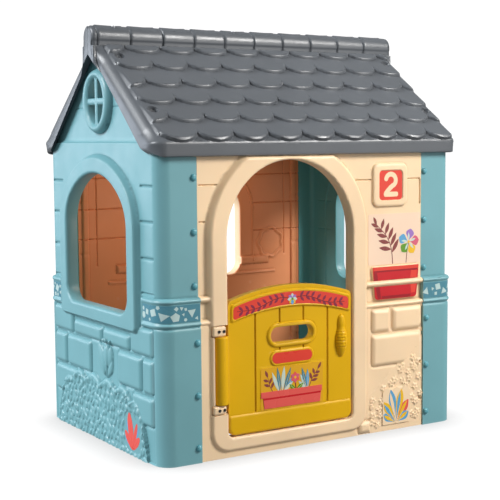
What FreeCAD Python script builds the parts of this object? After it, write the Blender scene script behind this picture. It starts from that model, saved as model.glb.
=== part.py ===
"""Plastic playhouse: two blue gable walls, cream front and back walls, a slate roof in two
identical halves, and a half-height stable door on a vertical hinge.

Frame: millimetres, X along the front wall, -Y out of the front, Z up. The origin is on the ground,
in the middle of the house. The two gable walls are one moulding used twice, and so are the two
roof halves: the second of each is the first turned half a turn about Z.
"""
import FreeCAD
import Part
import math
import os

import Sketcher
from FreeCAD import Placement, Rotation, Vector

# Driving dimensions, in millimetres and degrees.
SIZES = {
    # roof
    "ridge_height": 1240, "roof_length": 1080, "roof_pitch": 37.9, "eave_depth": 396,
    "eave_top": 903, "eave_bottom": 857, "roof_thickness": 22, "verge_drop": 34,
    "verge_width": 14, "cap_radius": 36, "cap_overhang": 9, "fascia_thickness": 16, "tile_course": 84,
    "tile_width": 116, "tile_scallop": 24, "tile_rise": 7, "ridge_gap": 1, "lap_depth": 30,
    "lap_width": 60, "lap_thickness": 18, "lap_place": 266, "lap_spacing": 412,
    # walls
    "wall_top": 878, "wall_thickness": 22, "gable_half_width": 521.5, "wall_half_depth": 376,
    "corner_radius": 40, "seam_place": 400, "lap_joint": 36, "lap_skin": 12, "base_side": 2.5,
    "base_front": 12, "base_height": 392, "wrap_side": 5.5, "wrap_front": 15, "wrap_edge": 345,
    "brick_rise": 3, "rim_low": 386, "rim_high": 452, "rim_width": 16, "rim_side": 10.5,
    "rim_front": 19, "gable_recess": 6, "screw_seam": 411,
    # gable window and vent
    "window_half_width": 210, "window_sill": 408, "window_spring": 650, "window_rise": 156,
    "window_shoulder": 120, "frame_border": 60, "frame_rise": 11, "back_window_half_width": 186,
    "back_window_sill": 426, "vent_height": 1018, "vent_half_width": 55, "vent_half_height": 68,
    "vent_border": 30, "vent_rise": 8, "vent_bar": 22,
    # doorway and door
    "door_middle": -95, "door_half_width": 219, "door_sill": 58, "arch_spring": 626,
    "door_border": 66, "door_frame_rise": 19, "arch_cut": 850, "leaf_left": -309.5,
    "leaf_right": 121, "leaf_bottom": 62, "leaf_shoulder": 447, "leaf_crown": 36,
    "leaf_front": 387, "leaf_thickness": 26, "rail_top": 118, "relief": 3, "hinge_place": -333,
    "hinge_depth": 385, "barrel_radius": 20, "barrel_bottom": 156, "barrel_top": 351,
    "notch_left": -365.5, "notch_floor": 362, "bracket_width": 44, "bracket_depth": 36,
    "upper_bracket": 352.5, "lower_bracket": 130, "bracket_height": 30, "lower_bracket_height": 25,
    "pin_radius": 6, "pin_clearance": 0.08, "pin_length": 45, "slot_half_width": 74,
    "slot_half_height": 23, "slot_height": 338, "slot_border": 12, "grip_place": 83,
    "grip_radius": 18, "grip_bottom": 250, "grip_length": 130,
    # labels and fasteners
    "label_thickness": 0.8, "cap_head_radius": 9, "cap_head_height": 6, "shank_radius": 3.5,
    "screw_clearance": 0.3, "small_head_radius": 4.5, "small_head_height": 2.5,
    "small_shank_radius": 2, "roof_head_radius": 8,
    "ridge_head_radius": 5.5, "roof_recess_radius": 15, "roof_recess_depth": 3.5, "roof_shank_length": 40,
}

doc = FreeCAD.newDocument("playhouse")
sheet = doc.addObject("Spreadsheet::Sheet", "Sizes")
for row, (alias, number) in enumerate(SIZES.items(), start=1):
    sheet.set(f"A{row}", alias)
    sheet.set(f"B{row}", str(number))
    sheet.setAlias(f"B{row}", alias)
doc.recompute()


class Size:
    """A length that carries its number and the formula that binds it to the spreadsheet."""

    def __init__(self, number, formula=None):
        self.number = float(number)
        self.formula = formula if formula else f"({round(float(number), 6)})"

    def combine(self, other, sign, number):
        return Size(number, f"({self.formula} {sign} {other.formula})")

    def __add__(self, other):
        other = size(other)
        return self.combine(other, "+", self.number + other.number)

    def __sub__(self, other):
        other = size(other)
        return self.combine(other, "-", self.number - other.number)

    def __mul__(self, other):
        other = size(other)
        return self.combine(other, "*", self.number * other.number)

    def __truediv__(self, other):
        other = size(other)
        return self.combine(other, "/", self.number / other.number)

    def __radd__(self, other):
        return size(other) + self

    def __rsub__(self, other):
        return size(other) - self

    def __rmul__(self, other):
        return size(other) * self

    def __neg__(self):
        return Size(-self.number, f"(-1 * {self.formula})")


def size(thing):
    return thing if isinstance(thing, Size) else Size(thing)


def root(thing):
    return Size(math.sqrt(thing.number), f"sqrt({thing.formula})")


class Driving:
    """Driving.alias is the spreadsheet's cell of that name, as a Size."""

    def __getattr__(self, alias):
        return Size(SIZES[alias], f"Sizes.{alias}")


D = Driving()
PITCH = math.radians(SIZES["roof_pitch"])
RISE = Size(math.tan(PITCH), "tan(Sizes.roof_pitch * 1deg)")
LEAN = Size(math.cos(PITCH), "cos(Sizes.roof_pitch * 1deg)")
LIFT = Size(math.sin(PITCH), "sin(Sizes.roof_pitch * 1deg)")
APEX = D.eave_top + (D.eave_depth - 6) * RISE  # where the two slopes' surfaces would meet


def bind(thing, path, length):
    """Sets a property of an object, then binds it to the spreadsheet's formula."""
    length = size(length)
    if "." not in path:
        setattr(thing, path, length.number)
    thing.setExpression(path, length.formula)


# ---------------------------------------------------------------- sketches and features

def new_body(label):
    body = doc.addObject("PartDesign::Body", label)
    body.Label = label
    return body


def new_sketch(body, plane, height=0, shift=0, turn=None):
    """A sketch on one of the body's own planes, moved along its normal by height."""
    sketch = body.newObject("Sketcher::SketchObject", "Sketch")
    origin = next(f for f in body.Origin.OriginFeatures if f.Role == f"{plane}_Plane")
    sketch.AttachmentSupport = (origin, [""])
    sketch.MapMode = "FlatFace"
    spin = turn if turn else Rotation()
    height = size(height)
    shift = size(shift)
    sketch.AttachmentOffset = Placement(Vector(shift.number, 0, height.number), spin)
    sketch.setExpression("AttachmentOffset.Base.x", shift.formula)
    sketch.setExpression("AttachmentOffset.Base.z", height.formula)
    return sketch


def add_ties(sketch, ties):
    """Adds dimensions to a sketch and binds them: each is (constraint's arguments, length)."""
    made = [Sketcher.Constraint(*how, length.number) for how, length in ties]
    first = sketch.ConstraintCount
    sketch.addConstraint(made)
    for index, (how, length) in enumerate(ties, start=first):
        sketch.setExpression(f"Constraints[{index}]", length.formula)


def point_ties(edge, end, across, up):
    """What ties one end of an edge to its coordinates in the sketch."""
    return [(("DistanceX", -1, 1, edge, end), across), (("DistanceY", -1, 1, edge, end), up)]


def arc_centre(start, finish, bulge):
    """The centre of the arc from start to finish that stands bulge proud of its chord."""
    run = finish[0] - start[0]
    lift = finish[1] - start[1]
    chord = root(run * run + lift * lift)
    back = (chord * chord / 4 - bulge * bulge) / (2 * bulge)
    centre_x = (start[0] + finish[0]) / 2 - lift / chord * back
    centre_y = (start[1] + finish[1]) / 2 + run / chord * back
    return centre_x, centre_y


def draw(sketch, corners):
    """Draws one closed outline. A corner is (across, up), or (across, up, bulge) where an arc
    leads to the next corner: a positive bulge swells to the right of the way drawn."""
    spots = [(size(c[0]), size(c[1])) for c in corners]
    ties = []
    for index, corner in enumerate(corners):
        start = spots[index]
        finish = spots[(index + 1) % len(corners)]
        a = Vector(start[0].number, start[1].number, 0)
        b = Vector(finish[0].number, finish[1].number, 0)
        if len(corner) == 2:
            edge = sketch.addGeometry(Part.LineSegment(a, b), False)
            ties += point_ties(edge, 1, *start) + point_ties(edge, 2, *finish)
            continue
        bulge = size(corner[2])
        side = Vector(b.y - a.y, a.x - b.x, 0).normalize()
        edge = sketch.addGeometry(Part.Arc(a, (a + b) / 2 + side * bulge.number, b), False)
        ends = (1, 2) if bulge.number > 0 else (2, 1)
        ties += point_ties(edge, ends[0], *start) + point_ties(edge, ends[1], *finish)
        centre = arc_centre(start, finish, bulge)
        along, up = point_ties(edge, 3, *centre)
        ties.append(up if abs(b.x - a.x) >= abs(b.y - a.y) else along)
    add_ties(sketch, ties)


def draw_circle(sketch, across, up, radius):
    across, up, radius = size(across), size(up), size(radius)
    ring = Part.Circle(Vector(across.number, up.number, 0), Vector(0, 0, 1), radius.number)
    edge = sketch.addGeometry(ring, False)
    add_ties(sketch, point_ties(edge, 3, across, up) + [(("Radius", edge), radius)])


def pad(body, sketch, length, backwards=False, midplane=False):
    feature = body.newObject("PartDesign::Pad", "Pad")
    feature.Profile = sketch
    bind(feature, "Length", length)
    feature.Reversed = backwards
    feature.Midplane = midplane
    sketch.Visibility = False
    return feature


def pocket(body, sketch, length, backwards=False):
    feature = body.newObject("PartDesign::Pocket", "Pocket")
    feature.Profile = sketch
    bind(feature, "Length", length)
    feature.Reversed = backwards
    sketch.Visibility = False
    return feature


def raise_shapes(body, plane, height, shapes, thickness):
    """Pads a set of outlines together, outwards from a plane at the given height."""
    sketch = new_sketch(body, plane, height)
    for corners in shapes:
        draw(sketch, corners)
    return pad(body, sketch, thickness)


def sink_shapes(body, plane, height, shapes, depth):
    """Cuts a set of outlines together, inwards from a plane at the given height."""
    sketch = new_sketch(body, plane, height)
    for corners in shapes:
        draw(sketch, corners)
    return pocket(body, sketch, depth)


def drill(body, plane, height, holes, depth, backwards=False):
    """Cuts round holes, given as (across, up, radius), from a plane."""
    sketch = new_sketch(body, plane, height)
    for across, up, radius in holes:
        draw_circle(sketch, across, up, radius)
    return pocket(body, sketch, depth, backwards)


# ---------------------------------------------------------------- outlines

CORNER = 1 - math.cos(math.radians(45))


def oblong(left, bottom, right, top, radius=0):
    """A rectangle, drawn anticlockwise, with round corners where a radius is given."""
    left, bottom, right, top = size(left), size(bottom), size(right), size(top)
    if not size(radius).number:
        return [(left, bottom), (right, bottom), (right, top), (left, top)]
    radius = size(radius)
    bulge = radius * CORNER
    return [(left + radius, bottom), (right - radius, bottom, bulge), (right, bottom + radius),
            (right, top - radius, bulge), (right - radius, top), (left + radius, top, bulge),
            (left, top - radius), (left, bottom + radius, bulge)]


def stadium(middle, height, half_width, half_height):
    """A slot with half-round ends."""
    flat = half_width - half_height
    return [(middle - flat, height - half_height), (middle + flat, height - half_height, half_height),
            (middle + flat, height + half_height), (middle - flat, height + half_height, half_height)]


def oval(middle, height, half_width, half_height):
    """An upright oval of four arcs."""
    bulge = 0.4142 * half_width * half_height / root(
        half_width * half_width + half_height * half_height)
    return [(middle + half_width, height, bulge), (middle, height + half_height, bulge),
            (middle - half_width, height, bulge), (middle, height - half_height, bulge)]


def basket_arch(half_width, sill, spring, rise, shoulder, foot):
    """A three-centred arch on straight sides, with round bottom corners."""
    reach = half_width - shoulder
    crown = (reach * reach + rise * rise - shoulder * shoulder) / (2 * (rise - shoulder))
    lean = reach / (crown - shoulder)
    level = root(1 - lean * lean)
    join_x = crown * lean
    join_y = spring + rise - crown + crown * level
    side_bulge = shoulder * (1 - root((1 + lean) / 2))
    bend = foot * CORNER
    return [(foot - half_width, sill), (half_width - foot, sill, bend), (half_width, sill + foot),
            (half_width, spring, side_bulge), (join_x, join_y, crown * (1 - level)),
            (-join_x, join_y, side_bulge), (-half_width, spring), (-half_width, sill + foot, bend)]


def round_arch(middle, half_width, sill, spring, foot):
    """A half-round arch on straight sides, with round bottom corners."""
    bend = foot * CORNER
    left, right = middle - half_width, middle + half_width
    return [(left + foot, sill), (right - foot, sill, bend), (right, sill + foot),
            (right, spring, half_width), (left, spring), (left, sill + foot, bend)]


def mound(left, right, foot, shoulder, lobes, lobe_bulge):
    """A planted bank: a flat foot and a top edge of equal round lobes."""
    step = (right - left) / lobes
    top = [(right - step * k, shoulder, lobe_bulge) for k in range(lobes)]
    return [(left, foot), (right, foot)] + top + [(left, shoulder)]


# ---------------------------------------------------------------- roof

def roof_half(label):
    """The front half of the roof: a thin shell with a fascia, verges, tile courses and half of
    the round ridge cap. Lap tongues and slots along the ridge lock it to its twin."""
    body = new_body(label)
    half_gap = D.ridge_gap / 2
    fascia = D.eave_depth
    skin = D.roof_thickness / LEAN
    apex = APEX
    cap_centre = D.ridge_height - D.cap_radius
    profile = [
        (-fascia + 6, D.eave_bottom), (-fascia + D.fascia_thickness, D.eave_bottom),
        (-fascia + D.fascia_thickness, apex - skin - (fascia - D.fascia_thickness) * RISE),
        (-half_gap, apex - skin - half_gap * RISE), (-half_gap, D.ridge_height, D.cap_radius * CORNER),
        (-D.cap_radius, cap_centre), (-D.cap_radius, apex - D.cap_radius * RISE),
        (-fascia + 8, apex - (fascia - 8) * RISE, 1.5), (-fascia, D.eave_top - 8),
        (-fascia, D.eave_bottom + 6, 1.8)]
    shell = new_sketch(body, "YZ")
    draw(shell, profile)
    pad(body, shell, D.roof_length, midplane=True)
    low = apex - skin - D.verge_drop / LEAN
    reach = (low - D.eave_bottom) / RISE
    verge = [(-fascia + 9, D.eave_bottom), (-reach, D.eave_bottom), (-half_gap, low - half_gap * RISE),
             (-half_gap, apex - half_gap * RISE - 2), (-fascia + 9, apex - 2 - (fascia - 9) * RISE)]
    for side in (1, -1):
        edge = new_sketch(body, "YZ", side * D.roof_length / 2)
        draw(edge, verge)
        pad(body, edge, D.verge_width, backwards=side > 0)
    cap = [(-half_gap, apex - 8), (-half_gap, D.ridge_height, D.cap_radius * CORNER),
           (-D.cap_radius, cap_centre), (-D.cap_radius, apex - 8 - D.cap_radius * RISE)]
    ridge = new_sketch(body, "YZ")
    draw(ridge, cap)
    pad(body, ridge, D.roof_length + 2 * D.cap_overhang, midplane=True)
    for course in range(6):
        tile_course(body, course)
    for side, tongue in ((-1, False), (1, True)):
        for step in (-1, 1):
            middle = side * D.lap_place + step * D.lap_spacing / 2
            lap(body, middle, tongue, cap_centre)
    holes = [(step * D.lap_spacing / 2 - D.lap_place, -D.lap_depth / 2,
              D.shank_radius + D.screw_clearance) for step in (-1, 1)]
    drill(body, "XY", D.ridge_height + 5, holes, 90)
    hole = D.shank_radius - 0.5 + D.screw_clearance
    drill_slope(body, -1, 12, D.roof_recess_radius, 12 + D.roof_recess_depth)
    drill_slope(body, -1, 12, hole, 60)
    return body


def slope_sketch(body, way, lift, along=0, tilt=0):
    """A sketch parallel to the front (-1) or rear (+1) roof slope, lifted off its surface. Its
    second axis runs with the slope, towards the back, from a point that far along from the apex."""
    turn = Rotation(Vector(1, 0, 0), -way * SIZES["roof_pitch"] - tilt)
    sketch = new_sketch(body, "XY", turn=turn)
    foot_y = way * (size(along) * LEAN + size(lift) * LIFT)
    foot_z = APEX - size(along) * LIFT + size(lift) * LEAN
    sketch.setExpression("AttachmentOffset.Base.y", foot_y.formula)
    sketch.setExpression("AttachmentOffset.Base.z", foot_z.formula)
    return sketch


def drill_slope(body, way, lift, radius, depth):
    """The roof screws' holes, square to the slope."""
    sketch = slope_sketch(body, way, lift)
    for side in (-1, 1):
        for along in ROOF_SCREW_PLACES:
            draw_circle(sketch, side * (D.gable_half_width - 33), way * along, radius)
    return pocket(body, sketch, depth)


def tile_course(body, course):
    """One course of nine scalloped tiles, thick at the lower edge and running out to nothing."""
    low = (D.eave_depth - 6) / LEAN - D.tile_course * course - 22
    sketch = slope_sketch(body, -1, D.tile_rise, low, 4.2)
    edge = 4.5 * D.tile_width
    length = D.tile_course - 2 if course < 5 else low / 2
    shift = 0 if course % 2 == 0 else 0.5
    corners = [(edge, 0), (edge, length), (-edge, length), (-edge, 0)]
    lower = []
    if shift:
        lower = [(-edge, -D.tile_scallop, 4)] + [
            (-edge + (k + 0.5) * D.tile_width, 0, D.tile_scallop) for k in range(8)]
        lower = lower + [(edge - D.tile_width / 2, 0, 4), (edge, -D.tile_scallop)]
        corners = corners[1:3]
    else:
        lower = [(-edge + k * D.tile_width, 0, D.tile_scallop) for k in range(9)]
        corners = corners[:3]
    draw(sketch, lower + corners)
    pad(body, sketch, 12, backwards=True)


def lap(body, middle, tongue, level):
    """A tongue that reaches over the ridge line, or the slot that takes the twin's tongue."""
    slack = 0 if tongue else 0.5
    half = D.lap_width / 2 + slack
    low = level - 16 - slack
    shape = oblong(middle - half, low, middle + half, low + D.lap_thickness + 2 * slack)
    if tongue:
        sketch = new_sketch(body, "XZ", 4)
        draw(sketch, shape)
        pad(body, sketch, D.lap_depth + 2, backwards=True)
        drill(body, "XY", D.ridge_height + 5,
              [(middle, D.lap_depth / 2, D.shank_radius + D.screw_clearance)], 90)
    else:
        sketch = new_sketch(body, "XZ", 0)
        draw(sketch, shape)
        pocket(body, sketch, D.lap_depth, backwards=True)


# ---------------------------------------------------------------- walls

def channel(side, front, near):
    """The plan of a gable wall: a flat wall with a round-cornered wrap at each end. The wrap's
    last stretch is thin, where it laps over the front or back wall."""
    radius = D.corner_radius
    bend = radius * CORNER
    inner = D.wall_half_depth - D.wall_thickness
    thin = D.wall_half_depth - D.lap_skin
    wall = D.gable_half_width - D.wall_thickness
    inside = radius - D.wall_thickness
    step = D.seam_place + D.lap_joint
    half = [(near, -front), (side - radius, -front, bend), (side, radius - front)]
    back = [(side, front - radius, bend), (side - radius, front), (near, front), (near, thin),
            (step, thin), (step, inner), (wall - inside, inner, -inside * CORNER),
            (wall, inner - inside), (wall, inside - inner, -inside * CORNER),
            (wall - inside, -inner), (step, -inner), (step, -thin), (near, -thin)]
    return half + back


def corner_strip(side, front, depth, reach, near):
    """The plan of a strip that follows the outside of both corners of a gable wall."""
    radius = D.corner_radius
    strips = []
    for way in (-1, 1):
        bend = way * -radius * CORNER
        strips.append([
            (near, way * front), (side - radius, way * front, bend), (side, way * (front - radius)),
            (side, way * reach), (side - depth, way * reach),
            (side - depth, way * (front - radius), -bend), (side - radius, way * (front - depth)),
            (near, way * (front - depth))])
    return strips


def gable_wall(label):
    """The right-hand gable wall with its wraps, stone base, band, arched window and oval vent."""
    body = new_body(label)
    side, front, near = D.gable_half_width, D.wall_half_depth, D.seam_place
    raise_shapes(body, "XY", 0, [channel(side, front, near)], D.wall_top)
    raise_shapes(body, "XY", 0, [channel(side + D.base_side, front + D.base_front, near)],
                 D.base_height)
    raise_shapes(body, "XY", 0, corner_strip(side + D.wrap_side, front + D.wrap_front, 10,
                                             D.wrap_edge, near), D.base_height)
    rim = corner_strip(side + D.rim_side, front + D.rim_front, 18, 280, near)
    for height in (D.rim_low, D.rim_high):
        raise_shapes(body, "XY", height, rim, D.rim_width)
    fill = corner_strip(side + D.wrap_side, front + D.wrap_front - 2, 14, 280, near)
    raise_shapes(body, "XY", D.rim_low, fill, D.rim_high - D.rim_low + 1)
    gable_top(body)
    outer = side + D.frame_rise
    border = D.frame_border
    frame = basket_arch(D.window_half_width + border, D.window_sill - 54, D.window_spring,
                        D.window_rise + border, D.window_shoulder + border, size(25))
    raise_shapes(body, "YZ", side - 5, [frame], D.frame_rise + 5)
    opening = basket_arch(D.window_half_width, D.window_sill, D.window_spring, D.window_rise,
                          D.window_shoulder, size(50))
    sink_shapes(body, "YZ", outer + 5, [opening], 60)
    raise_shapes(body, "YZ", side, gable_bricks(), D.base_side + D.brick_rise)
    raise_shapes(body, "YZ", side, [mound(size(-292), size(300), size(8), size(130), 6, 30)],
                 D.base_side + D.brick_rise + 1)
    raise_shapes(body, "YZ", side, [oval(size(36), size(240), size(34), size(44))],
                 D.base_side + D.brick_rise + 3)
    screw_holes(body, 1)
    return body


def gable_top(body):
    """The gable's triangle, with the sloping flange that the roof screws bite, and its vent."""
    side = D.gable_half_width
    apex = APEX - D.roof_thickness / LEAN - 1
    foot = size(360)
    wall = side - D.wall_thickness
    triangle = [(-foot, D.wall_top - 8), (foot, D.wall_top - 8), (foot, apex - foot * RISE),
                (0, apex), (-foot, apex - foot * RISE)]
    raise_shapes(body, "YZ", wall, [triangle], D.wall_thickness - D.gable_recess)
    reach = size(345)
    flange = [(reach, apex - reach * RISE), (0, apex), (-reach, apex - reach * RISE),
              (-reach, apex - 15 - reach * RISE), (0, apex - 15), (reach, apex - 15 - reach * RISE)]
    raise_shapes(body, "YZ", wall - 34, [flange], 36)
    ring = oval(0, D.vent_height, D.vent_half_width + D.vent_border,
                D.vent_half_height + D.vent_border)
    face = side - D.gable_recess
    raise_shapes(body, "YZ", face - 4, [ring], D.vent_rise + 4)
    hole = oval(0, D.vent_height, D.vent_half_width, D.vent_half_height)
    sink_shapes(body, "YZ", face + 20, [hole], 60)
    half = D.vent_bar / 2
    for bar in (oblong(-half, D.vent_height - D.vent_half_height - 4, half,
                       D.vent_height + D.vent_half_height + 4),
                oblong(-D.vent_half_width - 4, D.vent_height - half, D.vent_half_width + 4,
                       D.vent_height + half)):
        raise_shapes(body, "YZ", face - 12, [bar], 12)
    for way in (-1, 1):
        drill_slope(body, way, 10, D.shank_radius - 0.5 + D.screw_clearance, 70)


def gable_bricks():
    """Raised stones of the gable's base, seen from outside: their ends along Y, then heights."""
    top = D.rim_low - 6
    below = D.window_sill - 54 - 8
    return [oblong(205, 302, 340, top), oblong(20, 302, 195, below), oblong(-192, 302, 10, below),
            oblong(-340, 302, -202, top), oblong(278, 196, 340, 292), oblong(-61, 196, 268, 292),
            oblong(-246, 196, -71, 292), oblong(-340, 196, -256, 292)]


def front_bricks():
    """Raised stones to the right of the doorway."""
    top = D.rim_low - 4
    return [oblong(200, 312, 270, top, 6), oblong(280, 312, 392, top, 6), oblong(200, 207, 392, 302, 6),
            oblong(150, 4, 200, 40, 6)]


def screw_holes(body, sides):
    """Holes for the cap-headed screws that pull the wraps onto the front and back walls."""
    radius = D.shank_radius + D.screw_clearance
    spots = [(x, height, radius) for height in SCREW_HEIGHTS
             for x in ([D.screw_seam] if sides == 1 else [D.screw_seam, -D.screw_seam])]
    outside = D.wall_half_depth + 30
    drill(body, "XZ", outside, spots, 90)
    if sides == 1:
        drill(body, "XZ", -outside, spots, 90, backwards=True)


def straight_wall(label):
    """The panel that the front and the back share: a flat wall whose side edges tuck behind the
    gable wraps, with a thicker stone base and the two rims of the band."""
    body = new_body(label)
    half = D.seam_place - 0.5
    inner = D.wall_half_depth - D.wall_thickness
    raise_shapes(body, "XZ", inner, [oblong(-half, 0, half, D.wall_top)], D.wall_thickness)
    tuck = half + D.lap_joint - 1
    tongue = D.wall_thickness - D.lap_skin - 0.5
    raise_shapes(body, "XZ", inner, [oblong(-tuck, 0, tuck, D.wall_top)], tongue)
    face = D.wall_half_depth
    raise_shapes(body, "XZ", face - 2, [oblong(-half, 0, half, D.base_height)], D.base_front)
    for height in (D.rim_low, D.rim_high):
        raise_shapes(body, "XZ", face - 2, [oblong(-half, height, half, height + D.rim_width, 4)],
                     D.rim_front - 3)
    return body


def front_wall():
    """The front wall: arched doorway with its raised frame, number plaque and flower-pot relief."""
    body = straight_wall("front_wall")
    face = D.wall_half_depth
    middle, span, border = D.door_middle, D.door_half_width, D.door_border
    outer = face + D.door_frame_rise
    outside = span + border
    lift = D.arch_cut - D.arch_spring
    cut = root(outside * outside - lift * lift)
    half_turn = outside - root((outside * outside + outside * lift) / 2)
    shoulder = outside - root((outside * outside + outside * cut) / 2)
    foot = size(70)
    frame = [(middle - outside + foot, 8), (middle + outside - foot, 8, foot * CORNER),
             (middle + outside, 8 + foot), (middle + outside, D.arch_spring, shoulder),
             (middle + cut, D.arch_cut), (middle - cut, D.arch_cut, shoulder),
             (middle - outside, D.arch_spring), (middle - outside, 8 + foot, foot * CORNER)]
    raise_shapes(body, "XZ", face - 2, [frame], D.door_frame_rise + 2)
    raise_shapes(body, "XZ", face, front_bricks(), D.base_front - 2 + D.brick_rise)
    raise_shapes(body, "XZ", face, [mound(size(196), size(388), size(14), size(180), 3, 24)],
                 D.base_front - 2 + D.brick_rise)
    raise_shapes(body, "XZ", face - 2, [oblong(208, 695, 342, 827, 22)], 8)
    sink_shapes(body, "XZ", face + 6, [oblong(232, 714, 322, 806, 12)], 2)
    raise_shapes(body, "XZ", face - 2, [pot(468, 512)], 9)
    raise_shapes(body, "XZ", face - 2, [pot(410, 456)], 9)
    sink_shapes(body, "XZ", outer + 5, [round_arch(middle, span, D.door_sill, D.arch_spring,
                                                  size(18))], 60)
    barrel = D.hinge_place - D.barrel_radius - 3.5
    edge = middle - span + 2
    notch = [(barrel, D.lower_bracket + 20), (edge, D.lower_bracket + 20), (edge, D.upper_bracket + 2),
             (barrel, D.upper_bracket + 2)]
    depth = outer - D.notch_floor + 5
    sink_shapes(body, "XZ", outer + 5, [notch], depth)
    for foot_z, tall in ((D.upper_bracket, D.bracket_height),
                         (D.lower_bracket, D.lower_bracket_height)):
        slack = 0.5
        seat = oblong(D.notch_left, foot_z - slack, edge, foot_z + tall + slack)
        sink_shapes(body, "XZ", outer + 5, [seat], depth)
        spots = [(D.hinge_place + x, foot_z + tall / 2, D.small_shank_radius + 0.1)
                 for x in BRACKET_SCREWS]
        drill(body, "XZ", outer, spots, 60)
    screw_holes(body, 2)
    return body


def pot(low, high):
    """A slice of the flower pot's outline, which narrows downwards."""
    middle, half_top, lean = size(293), 90, 0.2
    wide = half_top - (512 - high) * lean
    narrow = half_top - (512 - low) * lean
    return [(middle - narrow, low), (middle + narrow, low), (middle + wide, high),
            (middle - wide, high)]


def back_wall():
    """The back wall, built facing the front and turned round: an arched window and bricks."""
    body = straight_wall("back_wall")
    face = D.wall_half_depth
    border = D.frame_border - 12
    frame = basket_arch(D.back_window_half_width + border, D.back_window_sill - 48,
                        D.window_spring, D.window_rise + border, D.window_shoulder + border, size(25))
    raise_shapes(body, "XZ", face - 2, [frame], D.door_frame_rise + 1)
    opening = basket_arch(D.back_window_half_width, D.back_window_sill, D.window_spring,
                          D.window_rise, D.window_shoulder, size(45))
    sink_shapes(body, "XZ", face + 25, [opening], 60)
    for course, shift in enumerate((0, 0.5, 0, 0.5)):
        low = 8 + 94 * course
        starts = [-390 + (k - shift) * 195 for k in range(5)]
        stones = [oblong(max(x + 5, -392), low, min(x + 190, 392), low + 84) for x in starts
                  if min(x + 190, 392) - max(x + 5, -392) > 40]
        raise_shapes(body, "XZ", face, stones, D.base_front - 2 + D.brick_rise)
    screw_holes(body, 2)
    body.Placement = Placement(Vector(), Rotation(Vector(0, 0, 1), 180))
    return body


# ---------------------------------------------------------------- door

def door_panel():
    """The half-height door: a plank leaf with a crowned top, a slot window, a moulded grip and
    the hinge barrel that turns on two pins."""
    body = new_body("door_panel")
    left, right, low, top = D.leaf_left, D.leaf_right, D.leaf_bottom, D.leaf_shoulder
    inside = D.leaf_front - D.leaf_thickness
    foot = size(22)
    leaf = [(left + foot, low), (right - foot, low, foot * CORNER), (right, low + foot),
            (right, top, D.leaf_crown), (left, top), (left, low + foot, foot * CORNER)]
    raise_shapes(body, "XZ", inside, [leaf], D.leaf_thickness)
    face = D.leaf_front
    planks = [oblong(x - 2, D.rail_top, x + 2, 395) for x in (-220, -136, -53, 34)]
    sink_shapes(body, "XZ", face, planks, 2)
    relief = D.relief
    rail = [(left + foot, low), (right - foot, low, foot * CORNER), (right, low + foot),
            (right, D.rail_top), (left, D.rail_top), (left, low + foot, foot * CORNER)]
    raise_shapes(body, "XZ", face - 4, [rail], relief + 4)
    raise_shapes(body, "XZ", face - 4, [vine_band(0)], relief + 4)
    middle = D.door_middle + 1
    ring = stadium(middle, D.slot_height, D.slot_half_width + D.slot_border,
                   D.slot_half_height + D.slot_border)
    raise_shapes(body, "XZ", face - 4, [ring], relief + 6)
    raise_shapes(body, "XZ", face - 4, [stadium(middle, size(271), size(76), size(22))], relief + 4)
    raise_shapes(body, "XZ", face - 4, [oblong(-207, 119, 19, 248, 4)], 5)
    slot = stadium(middle, D.slot_height, D.slot_half_width, D.slot_half_height)
    sink_shapes(body, "XZ", face + 10, [slot], 60)
    grip(body)
    barrel = new_sketch(body, "XY", D.barrel_bottom)
    draw_circle(barrel, D.hinge_place, -D.hinge_depth, D.barrel_radius)
    pad(body, barrel, D.barrel_top - D.barrel_bottom)
    web = oblong(D.hinge_place, D.barrel_bottom, left + 5, D.barrel_top)
    raise_shapes(body, "XZ", D.hinge_depth - 18, [web], 20)
    bore = [(D.hinge_place, -D.hinge_depth, D.pin_radius + D.pin_clearance)]
    drill(body, "XY", D.barrel_bottom - 1, bore, D.pin_length - 8, backwards=True)
    drill(body, "XY", D.barrel_top + 1, bore, D.pin_length - 8)
    return body


def vine_band(inset):
    """The curved band under the door's top edge, or the area of it inside its rim."""
    left, right = D.leaf_left + 6 + inset, D.leaf_right - 4 - inset
    low, high = 385 + inset, D.leaf_shoulder - 10 - inset
    crown = D.leaf_crown - 4
    return [(left, low, -crown), (right, low), (right, high, crown), (left, high)]


def grip(body):
    """A spindle-shaped handle that stands half out of the leaf, ringed where the hand goes."""
    sketch = new_sketch(body, "XZ", D.leaf_front - 2, D.grip_place)
    low, length, radius = D.grip_bottom, D.grip_length, D.grip_radius
    draw(sketch, [(0, low), (5, low), (radius * 0.75, low + length * 0.25), (radius, low + length / 2),
                  (radius * 0.75, low + length * 0.75), (6, low + length * 0.88),
                  (6, low + length), (0, low + length)])
    turn = body.newObject("PartDesign::Revolution", "Revolution")
    turn.Profile = sketch
    turn.ReferenceAxis = (sketch, ["V_Axis"])
    turn.Angle = 360
    sketch.Visibility = False


def hinge_bracket(label, foot, tall, pin_up):
    """A block that holds one hinge pin, held to the doorway by two screws."""
    body = new_body(label)
    left = D.notch_left + 0.5
    block = oblong(left, foot, left + D.bracket_width, foot + tall, 4)
    raise_shapes(body, "XZ", D.notch_floor, [block], D.bracket_depth)
    socket = [(D.hinge_place, -D.hinge_depth, D.pin_radius)]
    if pin_up:
        drill(body, "XY", foot + tall + 1, socket, 10)
    else:
        drill(body, "XY", foot - 1, socket, 10, backwards=True)
    spots = [(D.hinge_place + x, foot + tall / 2, D.small_shank_radius + 0.1)
             for x in BRACKET_SCREWS]
    drill(body, "XZ", D.notch_floor + D.bracket_depth + 1, spots, 60)
    return body


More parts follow.
